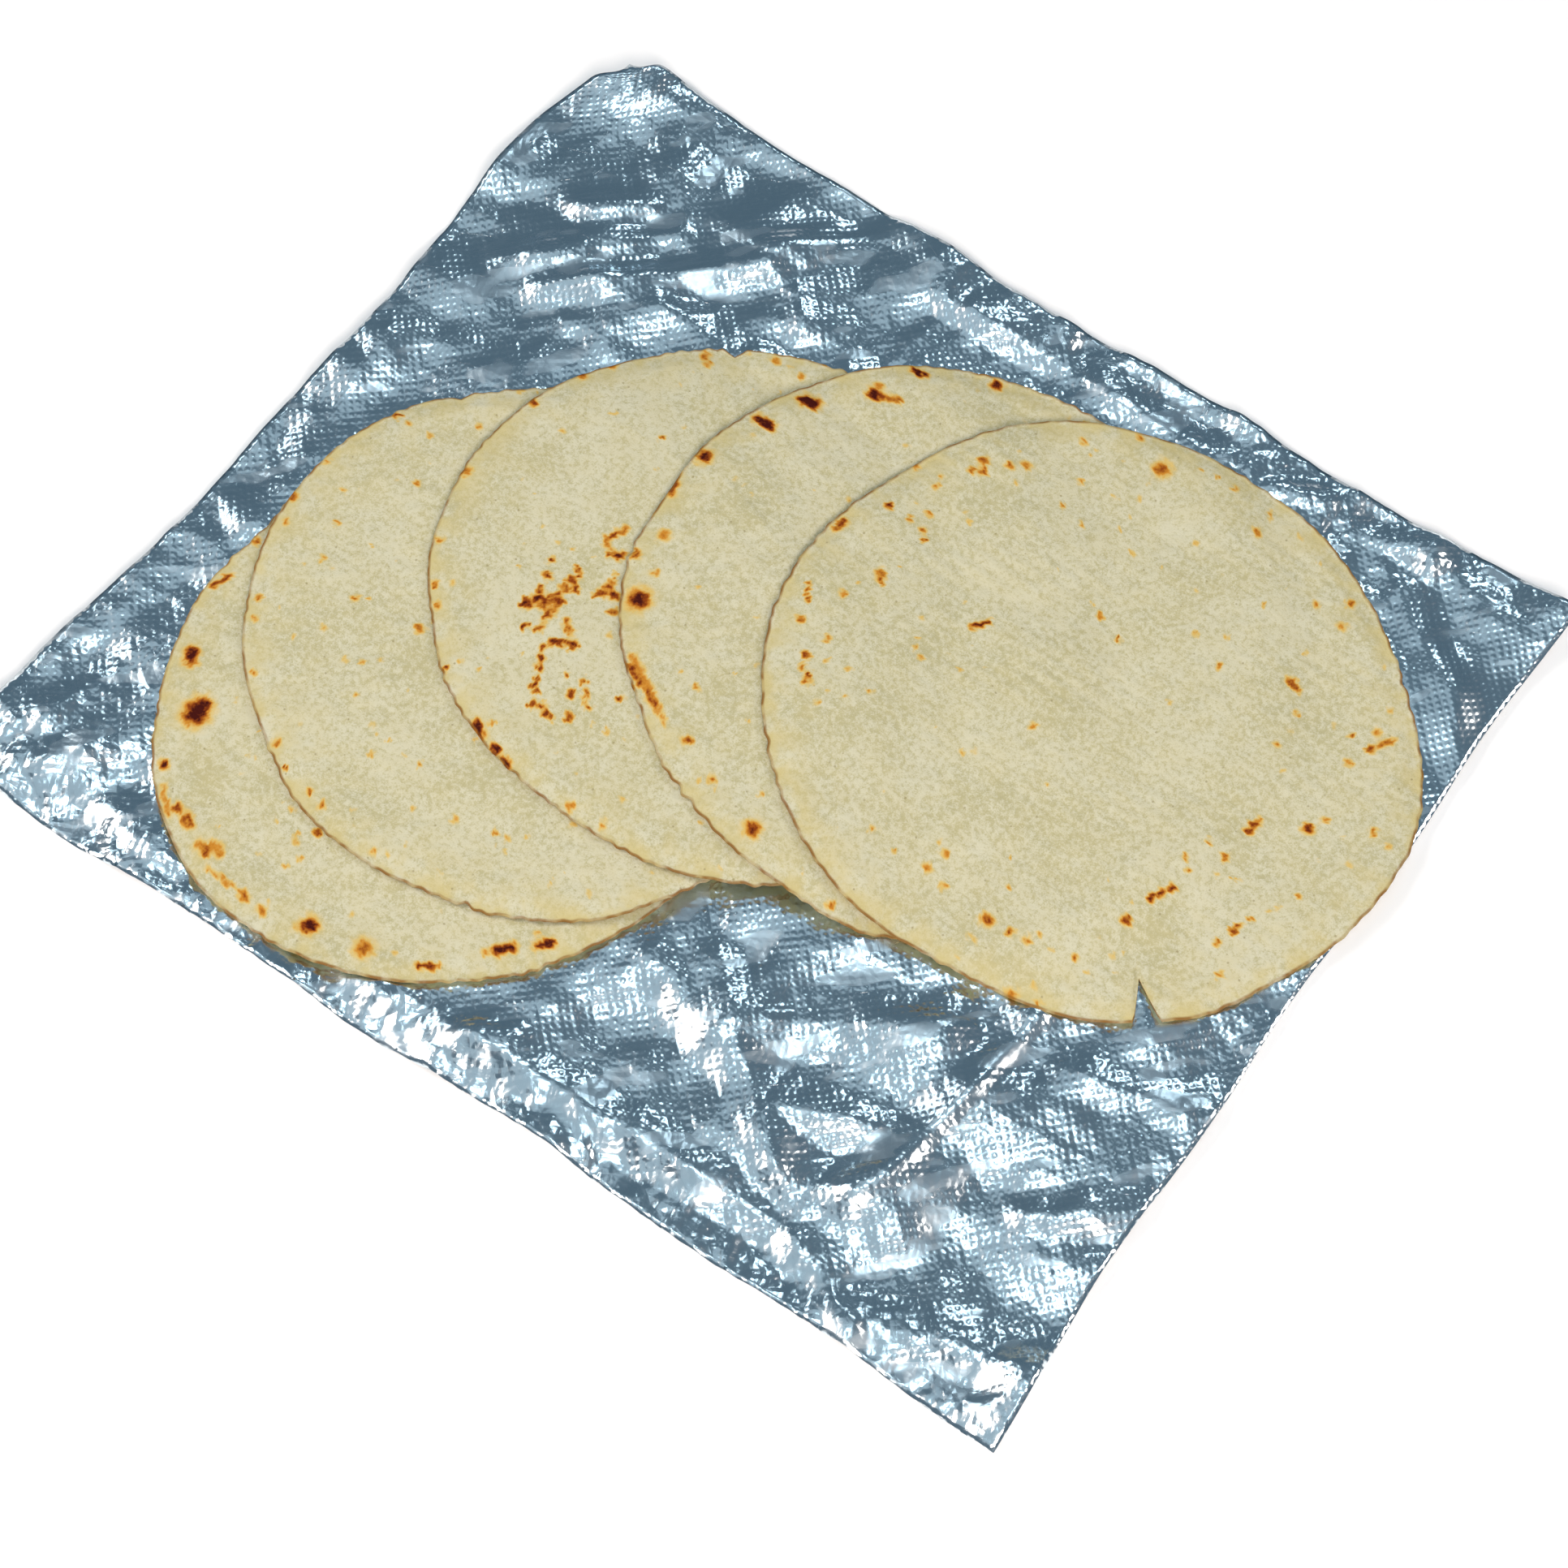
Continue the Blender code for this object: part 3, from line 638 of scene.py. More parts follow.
FRECKLES = 90                  # faint golden freckles on each tortilla, where chance puts them
FRECKLE_WIDTHS = (0.7, 1.7)
FRECKLE_DEGREES = (0.15, 0.42)
FRECKLE_INSET = 3.0            # none lies nearer to the rim than this
FRECKLE_SPREAD = (0.03, 1.0)
FRECKLE_CROWDING = 0.4         # a power of 0.5 spreads them evenly, a smaller one crowds the rim


def spots_of(number):
    """All spots of a tortilla, as rows of x, y, second x, second y, width and degree."""
    rows = []
    for spot in TOASTED[number]:
        start = place_of_pixel(spot[0], spot[1])
        end = place_of_pixel(spot[4], spot[5]) if len(spot) > 4 else start
        rows.append((*start, *end, spot[2], spot[3]))
    draw = np.random.RandomState(SEED * 5 + number)
    if number == 3:
        for column, row in FLECKS:
            start = place_of_pixel(column, row)
            end = start + draw.uniform(-FLECK_STRETCH, FLECK_STRETCH, 2)
            rows.append((*start, *end, draw.uniform(*FLECK_WIDTHS), draw.uniform(*FLECK_DEGREES)))
    cx, cy = TORTILLAS[number - 1]["centre"]
    for _ in range(FRECKLES):
        angle = draw.uniform(0, 2 * math.pi)
        outwards = draw.uniform(*FRECKLE_SPREAD) ** FRECKLE_CROWDING
        away = (TORTILLA_DIAMETER / 2 - FRECKLE_INSET) * outwards
        start = np.array([cx + away * math.cos(angle), cy + away * math.sin(angle)])
        rows.append((*start, *start, draw.uniform(*FRECKLE_WIDTHS), draw.uniform(*FRECKLE_DEGREES)))
    return rows


SPOTS = {number: spots_of(number) for number in NUMBERS}
print("toasted spots:", {number: len(SPOTS[number]) for number in NUMBERS})

# %% [markdown]
# Two mesh builders do all the work.  Each takes a grid of points that was worked out as a whole
# array and joins its neighbours with quads.  foreach_set copies the arrays into the mesh at once,
# where adding faces one by one with bmesh would take minutes.

# %% Mesh builders
def build_mesh(name, points, quads, triangles):
    """A mesh object from points in millimetres, in the frame's place."""
    mesh = bpy.data.meshes.new(name)
    mesh.vertices.add(len(points))
    mesh.vertices.foreach_set("co", ((points + SHIFT) * MM).astype(np.float32).ravel())
    corners = np.concatenate([quads.ravel(), triangles.ravel()])
    mesh.loops.add(len(corners))
    mesh.loops.foreach_set("vertex_index", corners.astype(np.int32))
    triangle_starts = quads.size + 3 * np.arange(len(triangles))
    starts = np.concatenate([4 * np.arange(len(quads)), triangle_starts])
    mesh.polygons.add(len(starts))
    mesh.polygons.foreach_set("loop_start", starts.astype(np.int32))
    mesh.update(calc_edges=True)
    mesh.shade_smooth()
    piece = bpy.data.objects.new(name, mesh)
    bpy.context.scene.collection.objects.link(piece)
    return piece


def add_value(piece, name, values):
    """One number for each point of the mesh, which a material can read by this name."""
    attribute = piece.data.attributes.new(name, "FLOAT", "POINT")
    attribute.data.foreach_set("value", values.astype(np.float32).ravel())


def triangle_count(piece):
    """How many triangles the piece has once its quads are split: corners less two for each face."""
    return len(piece.data.loops) - 2 * len(piece.data.polygons)


def sheet_mesh(name, top, bottom):
    """A closed thin sheet from the grids of its two faces, each rows x columns x 3.

    The faces are joined along their common outline by one row of quads.
    """
    rows, columns = top.shape[:2]
    index = np.arange(rows * columns).reshape(rows, columns)
    upper = np.stack([index[:-1, :-1], index[:-1, 1:], index[1:, 1:], index[1:, :-1]], -1).reshape(-1, 4)
    lower = upper[:, ::-1] + rows * columns
    outline = np.concatenate([index[0, :-1], index[:-1, -1], index[-1, :0:-1], index[:0:-1, 0]])
    following = np.roll(outline, -1)
    sides = np.stack([outline + rows * columns, following + rows * columns, following, outline], -1)
    points = np.concatenate([top.reshape(-1, 3), bottom.reshape(-1, 3)])
    return build_mesh(name, points, np.concatenate([upper, lower, sides]), np.zeros((0, 3), int))


def disc_mesh(name, rings, top_middle, bottom_middle):
    """A closed disc from rings of points, rings x sectors x 3, that run out over the top, round
    the rim and back in underneath.  A fan of triangles closes each of the two middles.
    """
    count, sectors = rings.shape[:2]
    index = 1 + np.arange(count * sectors).reshape(count, sectors)
    beside = np.roll(index, -1, axis=1)
    quads = np.stack([index[:-1], index[1:], beside[1:], beside[:-1]], -1).reshape(-1, 4)
    last = count * sectors + 1
    over = np.stack([np.zeros(sectors, int), index[0], beside[0]], -1)
    under = np.stack([index[-1], np.full(sectors, last), beside[-1]], -1)
    points = np.concatenate([[top_middle], rings.reshape(-1, 3), [bottom_middle]])
    return build_mesh(name, points, quads, np.concatenate([over, under]))


# %% [markdown]
# The foil's crumpling.  When foil is crumpled and smoothed out again it keeps flat facets with
# sharp creases between them.  Zigzag waves in several directions and sizes, bent by soft waves
# and kept to patches, add up to just that.  The CAD sheet has the large folds only, so the
# crumpling is laid over them.  The sheet is drawn thinner than the CAD one, inside its thickness.

# %% The foil sheet
FOIL_GRID = (216, 192)
CRUMPLES = [(33, 0.66), (20, 0.42), (12, 0.20), (7.5, 0.10)]     # spacing of the creases, height
CRUMPLE_BEND = 0.30            # how far soft waves bend their lines, in turns
CRUMPLE_TURNS = 3              # directions of each size
BEND_LENGTH = 2.6              # of the soft waves that bend the lines, in spacings
PATCH_LENGTH = 2.2             # of the soft waves that keep the creases to patches, in spacings
PATCH_CONTRAST = 0.9
PLAIN_CRUMPLING = 0.62         # the share of the crumpling in the open middle of the sheet
CORNER_CRUMPLING = 0.32        # what is added to it at the left corner
CORNER_REACH = 130.0
NEAR_CRUMPLING = 0.35          # along the near edge
NEAR_REACH = 34.0
FAR_CRUMPLING = 0.45           # along the far edge
FAR_REACH = 26.0
FAR_CRUMPLING_X = (-60.0, 0.0)  # along that edge it sets in between these two places
RIGHT_SMOOTHNESS = 0.35        # what is taken off it towards the far right corner
RIGHT_SMOOTH_X = (95.0, 135.0)
RIGHT_SMOOTH_Y = (10.0, 60.0)
CRUMPLING_LIMITS = (0.25, 1.3)
PLEAT_SPACING = 7.5            # short pleats that run in from the near edge and the left corner
PLEAT_HEIGHT = 0.5
PLEAT_REACH = 17.0
PLEAT_BEND = 0.35              # in turns
PLEAT_BEND_LENGTH = 24.0
PLEAT_LEAN = 0.5               # how far the pleats lean sideways for each millimetre inwards
FLATTEN_REACH = 4.0            # the crumpling dies out over this distance under the rims,
FLATTEN_START = 1.0            # and starts to do so this far outside them
TABLE_CLEARANCE = 0.3          # what would dip below this is rounded off, to stay above the table
TABLE_ROUNDING = 0.6
STRIP_WIDTH = 15.0             # the pressed strip along the near edge, which has lost its dots
STRIP_WANDER = 3.0
STRIP_WANDER_LENGTH = 22.0
CREASE_FADE = 5.0
# The longest creases, by where the photograph shows their two ends, with their height and how wide
# they are on the side towards the top of the picture and on the other side, in millimetres
LONG_CREASES = [
    (1283, 1253, 1218, 1323, 1.0, 9.0, 2.2),
    (1218, 1323, 1125, 1419, 1.0, 9.0, 2.2),
    (1125, 1419, 1064, 1465, 0.8, 9.0, 2.2),
    (871, 1207, 898, 1354, 0.45, 3.0, 5.0),
    (886, 1458, 948, 1442, 0.4, 5.0, 2.6),
    (956, 1365, 1071, 1384, 0.45, 5.0, 3.0),
    (656, 320, 739, 302, 0.5, 5.0, 2.8),
    (739, 302, 812, 291, 0.5, 5.0, 2.8),
    (665, 353, 806, 336, 0.5, 5.0, 2.8),
    (806, 336, 946, 328, 0.6, 6.0, 2.8),
    (946, 328, 981, 361, 0.5, 5.0, 2.8),
    (981, 361, 984, 409, 0.4, 4.0, 2.8),
    (952, 313, 1032, 305, 0.45, 5.0, 2.8),
    (713, 253, 799, 256, 0.5, 4.0, 2.8),
    (809, 361, 879, 415, 0.5, 3.0, 5.0),
    (700, 393, 767, 438, 0.5, 3.0, 5.0),
]


def long_creases(x, y):
    """The longest creases: each is a ridge with straight sides, one often steeper than the other."""
    total = np.zeros_like(x)
    to_the_right = camera_axes()[0][:2]
    for column0, row0, column1, row1, height, far_width, near_width in LONG_CREASES:
        start = place_of_pixel(column0, row0)
        along = place_of_pixel(column1, row1) - start
        length = np.hypot(*along)
        along = along / length
        t = (x - start[0]) * along[0] + (y - start[1]) * along[1]
        off = (y - start[1]) * along[0] - (x - start[0]) * along[1]
        if along @ to_the_right < 0:
            off = -off
        ridge = np.clip(1 - np.where(off > 0, off / far_width, -off / near_width), 0, 1)
        ends = smooth_step(t / CREASE_FADE + 1) * smooth_step((length - t) / CREASE_FADE + 1)
        total = np.maximum(total, height * ridge * ends)
    return total


def rise(value, start, end):
    """0 before the start, 1 past the end, and a soft S between."""
    return smooth_step((value - start) / (end - start))


def crumple_share(x, y):
    """Where the sheet is crumpled most: at the left corner and along the near and far edges.

    It is the plain share, plus each of these times a soft fall with the distance, less the far
    right's.
    """
    from_left = x + FOIL_LENGTH / 2
    from_near = y + FOIL_WIDTH / 2
    from_far = FOIL_WIDTH / 2 - y
    corner = smooth_step(1 - np.hypot(from_left, from_near) / CORNER_REACH)
    near = smooth_step(1 - from_near / NEAR_REACH)
    far = smooth_step(1 - from_far / FAR_REACH) * rise(x, *FAR_CRUMPLING_X)
    right = rise(x, *RIGHT_SMOOTH_X) * rise(y, *RIGHT_SMOOTH_Y)
    share = (PLAIN_CRUMPLING + CORNER_CRUMPLING * corner + NEAR_CRUMPLING * near
             + FAR_CRUMPLING * far - RIGHT_SMOOTHNESS * right)
    return np.clip(share, *CRUMPLING_LIMITS)


def crumple(x, y):
    """The creases: zigzag waves along bent lines, in chance directions, each kept to its patches."""
    draw = np.random.RandomState(SEED * 11)
    total = np.zeros_like(x)
    for spacing, height in CRUMPLES:
        for _ in range(CRUMPLE_TURNS):
            angle = draw.uniform(0, math.pi)
            seed = draw.randint(10000)
            bend = CRUMPLE_BEND * soft_waves(x, y, BEND_LENGTH * spacing, seed)
            hills = soft_waves(x, y, PATCH_LENGTH * spacing, seed + 1)
            patch = smooth_step(0.5 + PATCH_CONTRAST * hills)
            across = x * math.cos(angle) + y * math.sin(angle)
            total += height * patch * tent(across / spacing + bend + draw.uniform())
    return total * crumple_share(x, y)


def pleats(x, y):
    """Short pleats square to the near edge: a zigzag along it that dies out inwards."""
    inside = y + FOIL_WIDTH / 2
    bend = PLEAT_BEND * soft_waves(x, y, PLEAT_BEND_LENGTH, SEED * 12)
    reach = smooth_step(1 - inside / PLEAT_REACH)
    return PLEAT_HEIGHT * reach * tent((x + PLEAT_LEAN * inside) / PLEAT_SPACING + bend)


def flattened_strip(x, y):
    """1 in a strip of uneven width along the near edge, where the pleats were pressed, else 0."""
    wander = STRIP_WANDER * soft_waves(x, y, STRIP_WANDER_LENGTH, SEED * 15)
    inside = y + FOIL_WIDTH / 2 + wander
    return smooth_step((STRIP_WIDTH - inside) / STRIP_WANDER)


def make_foil():
    """The foil sheet as a closed mesh, its flat lattice as a UV map and its crumpling as a value."""
    u, v = np.meshgrid(np.linspace(0, 1, FOIL_GRID[0] + 1), np.linspace(0, 1, FOIL_GRID[1] + 1))
    x, y = foil_place(u, v)
    beneath = np.max([distance_inside(number, x, y) for number in NUMBERS], axis=0)
    free = smooth_step(1 - (beneath + FLATTEN_START) / FLATTEN_REACH)
    fine = (crumple(x, y) + pleats(x, y) + long_creases(x, y)) * free
    low = foil_relief(x, y, read_map(PRESS_MAP, x, y)) - SET_DOWN + fine
    rounded = TABLE_CLEARANCE * np.exp((low - TABLE_CLEARANCE) / TABLE_ROUNDING)
    low = np.where(low < TABLE_CLEARANCE, rounded, low)
    top = np.stack([x, y, low + FOIL_SKIN], -1)
    bottom = np.stack([x, y, low], -1)
    foil = sheet_mesh("foil_crumpled", top, bottom)
    flat = np.stack([u, v], -1).reshape(-1, 2)
    flat = np.concatenate([flat, flat])
    corners = np.empty(len(foil.data.loops), np.int32)
    foil.data.loops.foreach_get("vertex_index", corners)
    layer = foil.data.uv_layers.new(name="flat sheet")
    layer.data.foreach_set("uv", flat[corners].astype(np.float32).ravel())
    for name, values in (("crumpled", crumple_share(x, y)), ("flattened", flattened_strip(x, y))):
        add_value(foil, name, np.concatenate([values.ravel(), values.ravel()]))
    return foil


foil = make_foil()
print("foil:", triangle_count(foil), "triangles,", round(foil.dimensions.z / MM, 1), "mm from low to high")

# %% [markdown]
# The tortillas.  A profile runs out over the top, round the rim and back underneath, and is carried
# round the centre.  The rings over the top are close together, because the eye rests there, and
# those underneath are wide apart.  Three values on each point say how far it is toasted, how near
# it is to the rim, and whether it lies on the cut edge itself.

# %% Five tortillas
TOP_RINGS = 108
UNDER_RINGS = 12
SECTORS = 720
# the rounded edge: how far inside the rim, and what share of the thickness up
EDGE_PROFILE = [(0.85, 1.0), (0.40, 0.96), (0.12, 0.82), (0.0, 0.52), (0.10, 0.22), (0.38, 0.05),
                (0.85, 0.0)]
CUT_SHARPNESS = 7
CUT_EDGE_BELOW = 0.97          # the cut edge starts below this share of the thickness
BLISTER = 0.14                 # low blisters in the dough, raised a little more where toasted
BLISTER_LENGTHS = (11.0, 5.0)
BLISTER_SHARES = (0.5, 0.3)
BLISTER_DROP = 0.8             # keeps their tops near the CAD solid's
TOASTED_RISE = 0.12
PUSH_WAVES = [(2.6, 0.28), (1.3, 0.16)]        # length and height of the waves that push spots
PUSH_SEEDS = (301, 303)        # along x and along y
# a spot's core and its halo: share, reach in half widths, steepness
SPOT_PROFILE = [(0.62, 0.9, 2.5), (0.38, 1.5, 2)]
SPOT_REACH = 2.2               # a spot has died out this many widths away
THIN_REACH = 6.0
MARGIN_REACH = 5.0


def push(x, y, seed):
    """How far chance pushes a place along one axis: the sum of height x soft waves."""
    return sum(height * soft_waves(x, y, length, seed + count)
               for count, (length, height) in enumerate(PUSH_WAVES))


def toast_at(number, x, y):
    """How far the surface is toasted, from 0 to 1.

    Each spot is a core with a steep edge and a wide weak halo around the line between its two
    ends, and the places are first pushed about by short soft waves, so that no spot is round.
    """
    x = x + push(x, y, PUSH_SEEDS[0])
    y = y + push(x, y, PUSH_SEEDS[1])
    bare = np.ones_like(x)
    for x0, y0, x1, y1, width, degree in SPOTS[number]:
        reach = math.hypot(x1 - x0, y1 - y0) / 2 + SPOT_REACH * width
        close = np.hypot(x - (x0 + x1) / 2, y - (y0 + y1) / 2) < reach
        px = x[close]
        py = y[close]
        length = (x1 - x0) ** 2 + (y1 - y0) ** 2
        t = np.clip(((px - x0) * (x1 - x0) + (py - y0) * (y1 - y0)) / max(length, 1e-9), 0, 1)
        away = np.hypot(px - x0 - t * (x1 - x0), py - y0 - t * (y1 - y0)) / (width / 2)
        strength = sum(share * np.exp(-(away / spread) ** power) for share, spread, power in SPOT_PROFILE)
        bare[close] *= 1 - degree * strength
    return 1 - bare


def make_tortilla(number):
    """One tortilla as a closed mesh with its values."""
    cx, cy = TORTILLAS[number - 1]["centre"]
    angles = np.linspace(0, 2 * math.pi, SECTORS, endpoint=False)
    plain = rim_radius(number, angles) + rim_scallop(number, angles)
    cut = rim_cut(number, angles)
    inner = 1 - EDGE_PROFILE[0][0] / (TORTILLA_DIAMETER / 2)
    shares = [inner * ring / TOP_RINGS for ring in range(1, TOP_RINGS)]
    heights = [1.0] * len(shares)
    for inset, height in EDGE_PROFILE:
        shares.append(1 - inset / (TORTILLA_DIAMETER / 2))
        heights.append(height)
    for ring in range(UNDER_RINGS - 1, 0, -1):
        shares.append(inner * ring / UNDER_RINGS)
        heights.append(0.0)
    shares = np.array(shares)[:, None]
    heights = np.array(heights)[:, None]
    radius = shares * plain - cut * shares ** CUT_SHARPNESS
    x = cx + radius * np.cos(angles)
    y = cy + radius * np.sin(angles)
    from_rim = plain - cut - radius
    toast = toast_at(number, x, y)
    thin = RIM_THICKNESS_SHARE + (1 - RIM_THICKNESS_SHARE) * smooth_step(from_rim / THIN_REACH)
    wide = soft_waves(x, y, BLISTER_LENGTHS[0], SEED * 13 + number)
    narrow = soft_waves(x, y, BLISTER_LENGTHS[1], SEED * 14 + number)
    blister = BLISTER * (BLISTER_SHARES[0] * wide + BLISTER_SHARES[1] * narrow - BLISTER_DROP)
    under = read_map(UNDERSIDES[number], x, y)
    z = under + heights * (TORTILLA_THICKNESS * thin + (blister + TOASTED_RISE * toast) * (heights == 1))
    rings = np.stack([x, y, z], -1)
    middle_under = float(read_map(UNDERSIDES[number], cx, cy))
    tortilla = disc_mesh(f"tortilla_{number}_baked", rings,
                         [cx, cy, z[0].mean()], [cx, cy, middle_under])
    on_edge = ((shares > inner) & (heights < CUT_EDGE_BELOW)).astype(float) * np.ones_like(x)
    add_value(tortilla, "toast", np.concatenate([[toast[0].mean()], toast.ravel(), [0.0]]))
    margin = np.exp(-from_rim / MARGIN_REACH)
    add_value(tortilla, "margin", np.concatenate([[0.0], margin.ravel(), [0.0]]))
    add_value(tortilla, "edge", np.concatenate([[0.0], on_edge.ravel(), [0.0]]))
    return tortilla


tortillas = {number: make_tortilla(number) for number in NUMBERS}
print("tortillas:", [triangle_count(piece) for piece in tortillas.values()], "triangles")

# %% [markdown]
# Materials are networks of nodes.  These helpers keep their making short: the first adds any node
# with its settings and inputs, the next ones stand for the nodes that are used most, and new_group
# starts a group with named inputs and outputs.

# %% Node helpers
def add_node(tree, kind, settings, values):
    """A node with its settings, and its inputs set to values or linked to other nodes' outputs.

    Both are dictionaries, and an input is called by its label or by its number.
    """
    made = tree.nodes.new(kind)
    for key, value in settings.items():
        setattr(made, key, value)
    for key, value in values.items():
        if isinstance(value, bpy.types.NodeSocket):
            tree.links.new(value, made.inputs[key])
        else:
            made.inputs[key].default_value = value
    return made


def maths(tree, operation, first, second=0.0, third=0.0):
    """The result of one Math node."""
    values = {0: first, 1: second, 2: third}
    return add_node(tree, "ShaderNodeMath", {"operation": operation}, values).outputs[0]


def vector_maths(tree, operation, first, second, output="Vector"):
    """The result of one Vector Math node."""
    made = add_node(tree, "ShaderNodeVectorMath", {"operation": operation}, {0: first, 1: second})
    return made.outputs[output]


def mix_colours(tree, share, first, second):
    """The first colour where the share is 0, the second where it is 1, and a mix between."""
    values = {0: share, 6: first, 7: second}
    return add_node(tree, "ShaderNodeMix", {"data_type": "RGBA"}, values).outputs[2]


def noise(tree, vector, scale, detail=2.0, roughness=0.5):
    """A Noise texture's value, about 0.5 on average."""
    values = {"Vector": vector, "Scale": scale, "Detail": detail, "Roughness": roughness}
    return add_node(tree, "ShaderNodeTexNoise", {}, values).outputs[0]


def between(tree, value, low, high):
    """0 where the value is below low, 1 above high, and a soft S between."""
    values = {"Value": value, "From Min": low, "From Max": high}
    return add_node(tree, "ShaderNodeMapRange", {"interpolation_type": "SMOOTHSTEP"}, values).outputs[0]


def placed(tree, vector, scale=(1.0, 1.0, 1.0), turn=0.0, shift=(0.0, 0.0, 0.0), kind="POINT"):
    """The vector scaled, turned about Z and shifted by a Mapping node."""
    values = {"Vector": vector, "Location": shift, "Rotation": (0.0, 0.0, turn), "Scale": scale}
    return add_node(tree, "ShaderNodeMapping", {"vector_type": kind}, values).outputs[0]


def new_group(name, inputs, outputs):
    """An empty node group, with its input node and output node."""
    group = bpy.data.node_groups.new(name, "ShaderNodeTree")
    for label, kind in inputs:
        group.interface.new_socket(label, in_out="INPUT", socket_type=kind)
    for label, kind in outputs:
        group.interface.new_socket(label, in_out="OUTPUT", socket_type=kind)
    return group, group.nodes.new("NodeGroupInput"), group.nodes.new("NodeGroupOutput")


def photo_colour(red, green, blue, light=1.0):
    """A colour of the photograph as a surface colour: its sRGB undone, less the light on it."""
    linear = []
    for value in (red, green, blue):
        share = value / 255.0
        linear.append((share / 12.92 if share <= 0.04045 else ((share + 0.055) / 1.055) ** 2.4) / light)
    return (*linear, 1.0)


def new_material(name):
    """A material with its Principled shader, ready for its values."""
    material = bpy.data.materials.new(name)
    material.use_nodes = True
    return material, material.node_tree, material.node_tree.nodes["Principled BSDF"]


print("helpers ready: add_node, maths, vector_maths, mix_colours, noise, between, placed")

# %% [markdown]
# Dough and toasting are shader groups, because every tortilla uses them, each with its own shift of
# the pattern.  Baked corn dough is a matte cream with pale and greyer blotches, tiny specks of bran
# and a yellower margin.  Toasting runs from a yellow halo through orange and brown to near black,
# and fine grain breaks up its edges.

# %% The dough and toasting groups
DAYLIGHT = 1.205               # how brightly the lights below show a white surface
PALE_DOUGH = photo_colour(217, 213, 184, DAYLIGHT)
GREY_DOUGH = photo_colour(191, 185, 144, DAYLIGHT)
YELLOW_DOUGH = photo_colour(209, 194, 134, DAYLIGHT)
SPECK = photo_colour(150, 138, 98, DAYLIGHT)
HALO = photo_colour(222, 192, 112, DAYLIGHT)
ORANGE = photo_colour(208, 140, 44, DAYLIGHT)
BROWN = photo_colour(146, 66, 6, DAYLIGHT)
CHAR = photo_colour(68, 8, 0, DAYLIGHT)
# the scales of the noise and cell textures, in patches for each millimetre
CLOUD_SCALE = 0.055
MOTTLE_SCALE = 0.75
GRAIN_SCALE = 2.6
YELLOW_SCALE = 0.16
BRAN_SCALE = 0.30
TOAST_GRAIN_SCALE = 1.5
PALE_WEIGHTS = (0.24, 0.50, 0.26)              # of the cloud, the mottle and the grain
PALE_BETWEEN = (0.385, 0.575)  # grey below the first, pale above the second
YELLOW_BETWEEN = (0.30, 0.66)
YELLOW_MARGIN = 0.90           # how yellow the margin is, above the middle
YELLOW_MIDDLE = 0.16
BRAN_SHUFFLE = 7.0             # turns a cell's colour into its chance
BRAN_CHOSEN = (0.55, 0.60)     # only the cells above these chances have a speck
BRAN_SIZE = (0.05, 0.12)
BRAN_STRENGTH = 0.6
MOTTLE_RELIEF = 0.16           # in millimetres
GRAIN_RELIEF = 0.06
TOAST_RAGGED = 0.7             # how far the grain breaks up the spots' edges
# from which toast value each colour sets in, where it is full, and the colour
TOAST_STEPS = [(0.03, 0.24, HALO), (0.18, 0.42, ORANGE), (0.36, 0.66, BROWN), (0.60, 0.88, CHAR)]


def make_dough_group():
    """Base colour and relief of the dough, from a place in millimetres and the margin value."""
    group, given, result = new_group(
        "corn dough", [("Place", "NodeSocketVector"), ("Margin", "NodeSocketFloat")],
        [("Colour", "NodeSocketColor"), ("Relief", "NodeSocketFloat")])
    place = given.outputs["Place"]
    cloud = noise(group, place, CLOUD_SCALE, detail=3.0, roughness=0.6)
    mottle = noise(group, place, MOTTLE_SCALE, detail=3.0, roughness=0.6)
    grain = noise(group, place, GRAIN_SCALE, detail=1.0)
    of_cloud, of_mottle, of_grain = PALE_WEIGHTS
    pale = maths(group, "MULTIPLY_ADD", cloud, of_cloud, maths(group, "MULTIPLY", mottle, of_mottle))
    pale = maths(group, "MULTIPLY_ADD", grain, of_grain, pale)
    colour = mix_colours(group, between(group, pale, *PALE_BETWEEN), GREY_DOUGH, PALE_DOUGH)
    yellow = between(group, noise(group, place, YELLOW_SCALE, detail=3.0), *YELLOW_BETWEEN)
    marginal = maths(group, "MULTIPLY_ADD", given.outputs["Margin"], YELLOW_MARGIN, YELLOW_MIDDLE)
    yellow = maths(group, "MULTIPLY", yellow, marginal)
    colour = mix_colours(group, yellow, colour, YELLOW_DOUGH)
    bran = add_node(group, "ShaderNodeTexVoronoi", {}, {"Vector": place, "Scale": BRAN_SCALE})
    chance = maths(group, "FRACT", maths(group, "MULTIPLY", bran.outputs["Color"], BRAN_SHUFFLE))
    chosen = between(group, chance, *BRAN_CHOSEN)
    speck = maths(group, "SUBTRACT", 1.0, between(group, bran.outputs["Distance"], *BRAN_SIZE))
    speck = maths(group, "MULTIPLY", maths(group, "MULTIPLY", speck, chosen), BRAN_STRENGTH)
    colour = mix_colours(group, speck, colour, SPECK)
    grains = maths(group, "MULTIPLY", grain, GRAIN_RELIEF)
    relief = maths(group, "MULTIPLY_ADD", mottle, MOTTLE_RELIEF, grains)
    group.links.new(colour, result.inputs["Colour"])
    group.links.new(relief, result.inputs["Relief"])
    return group


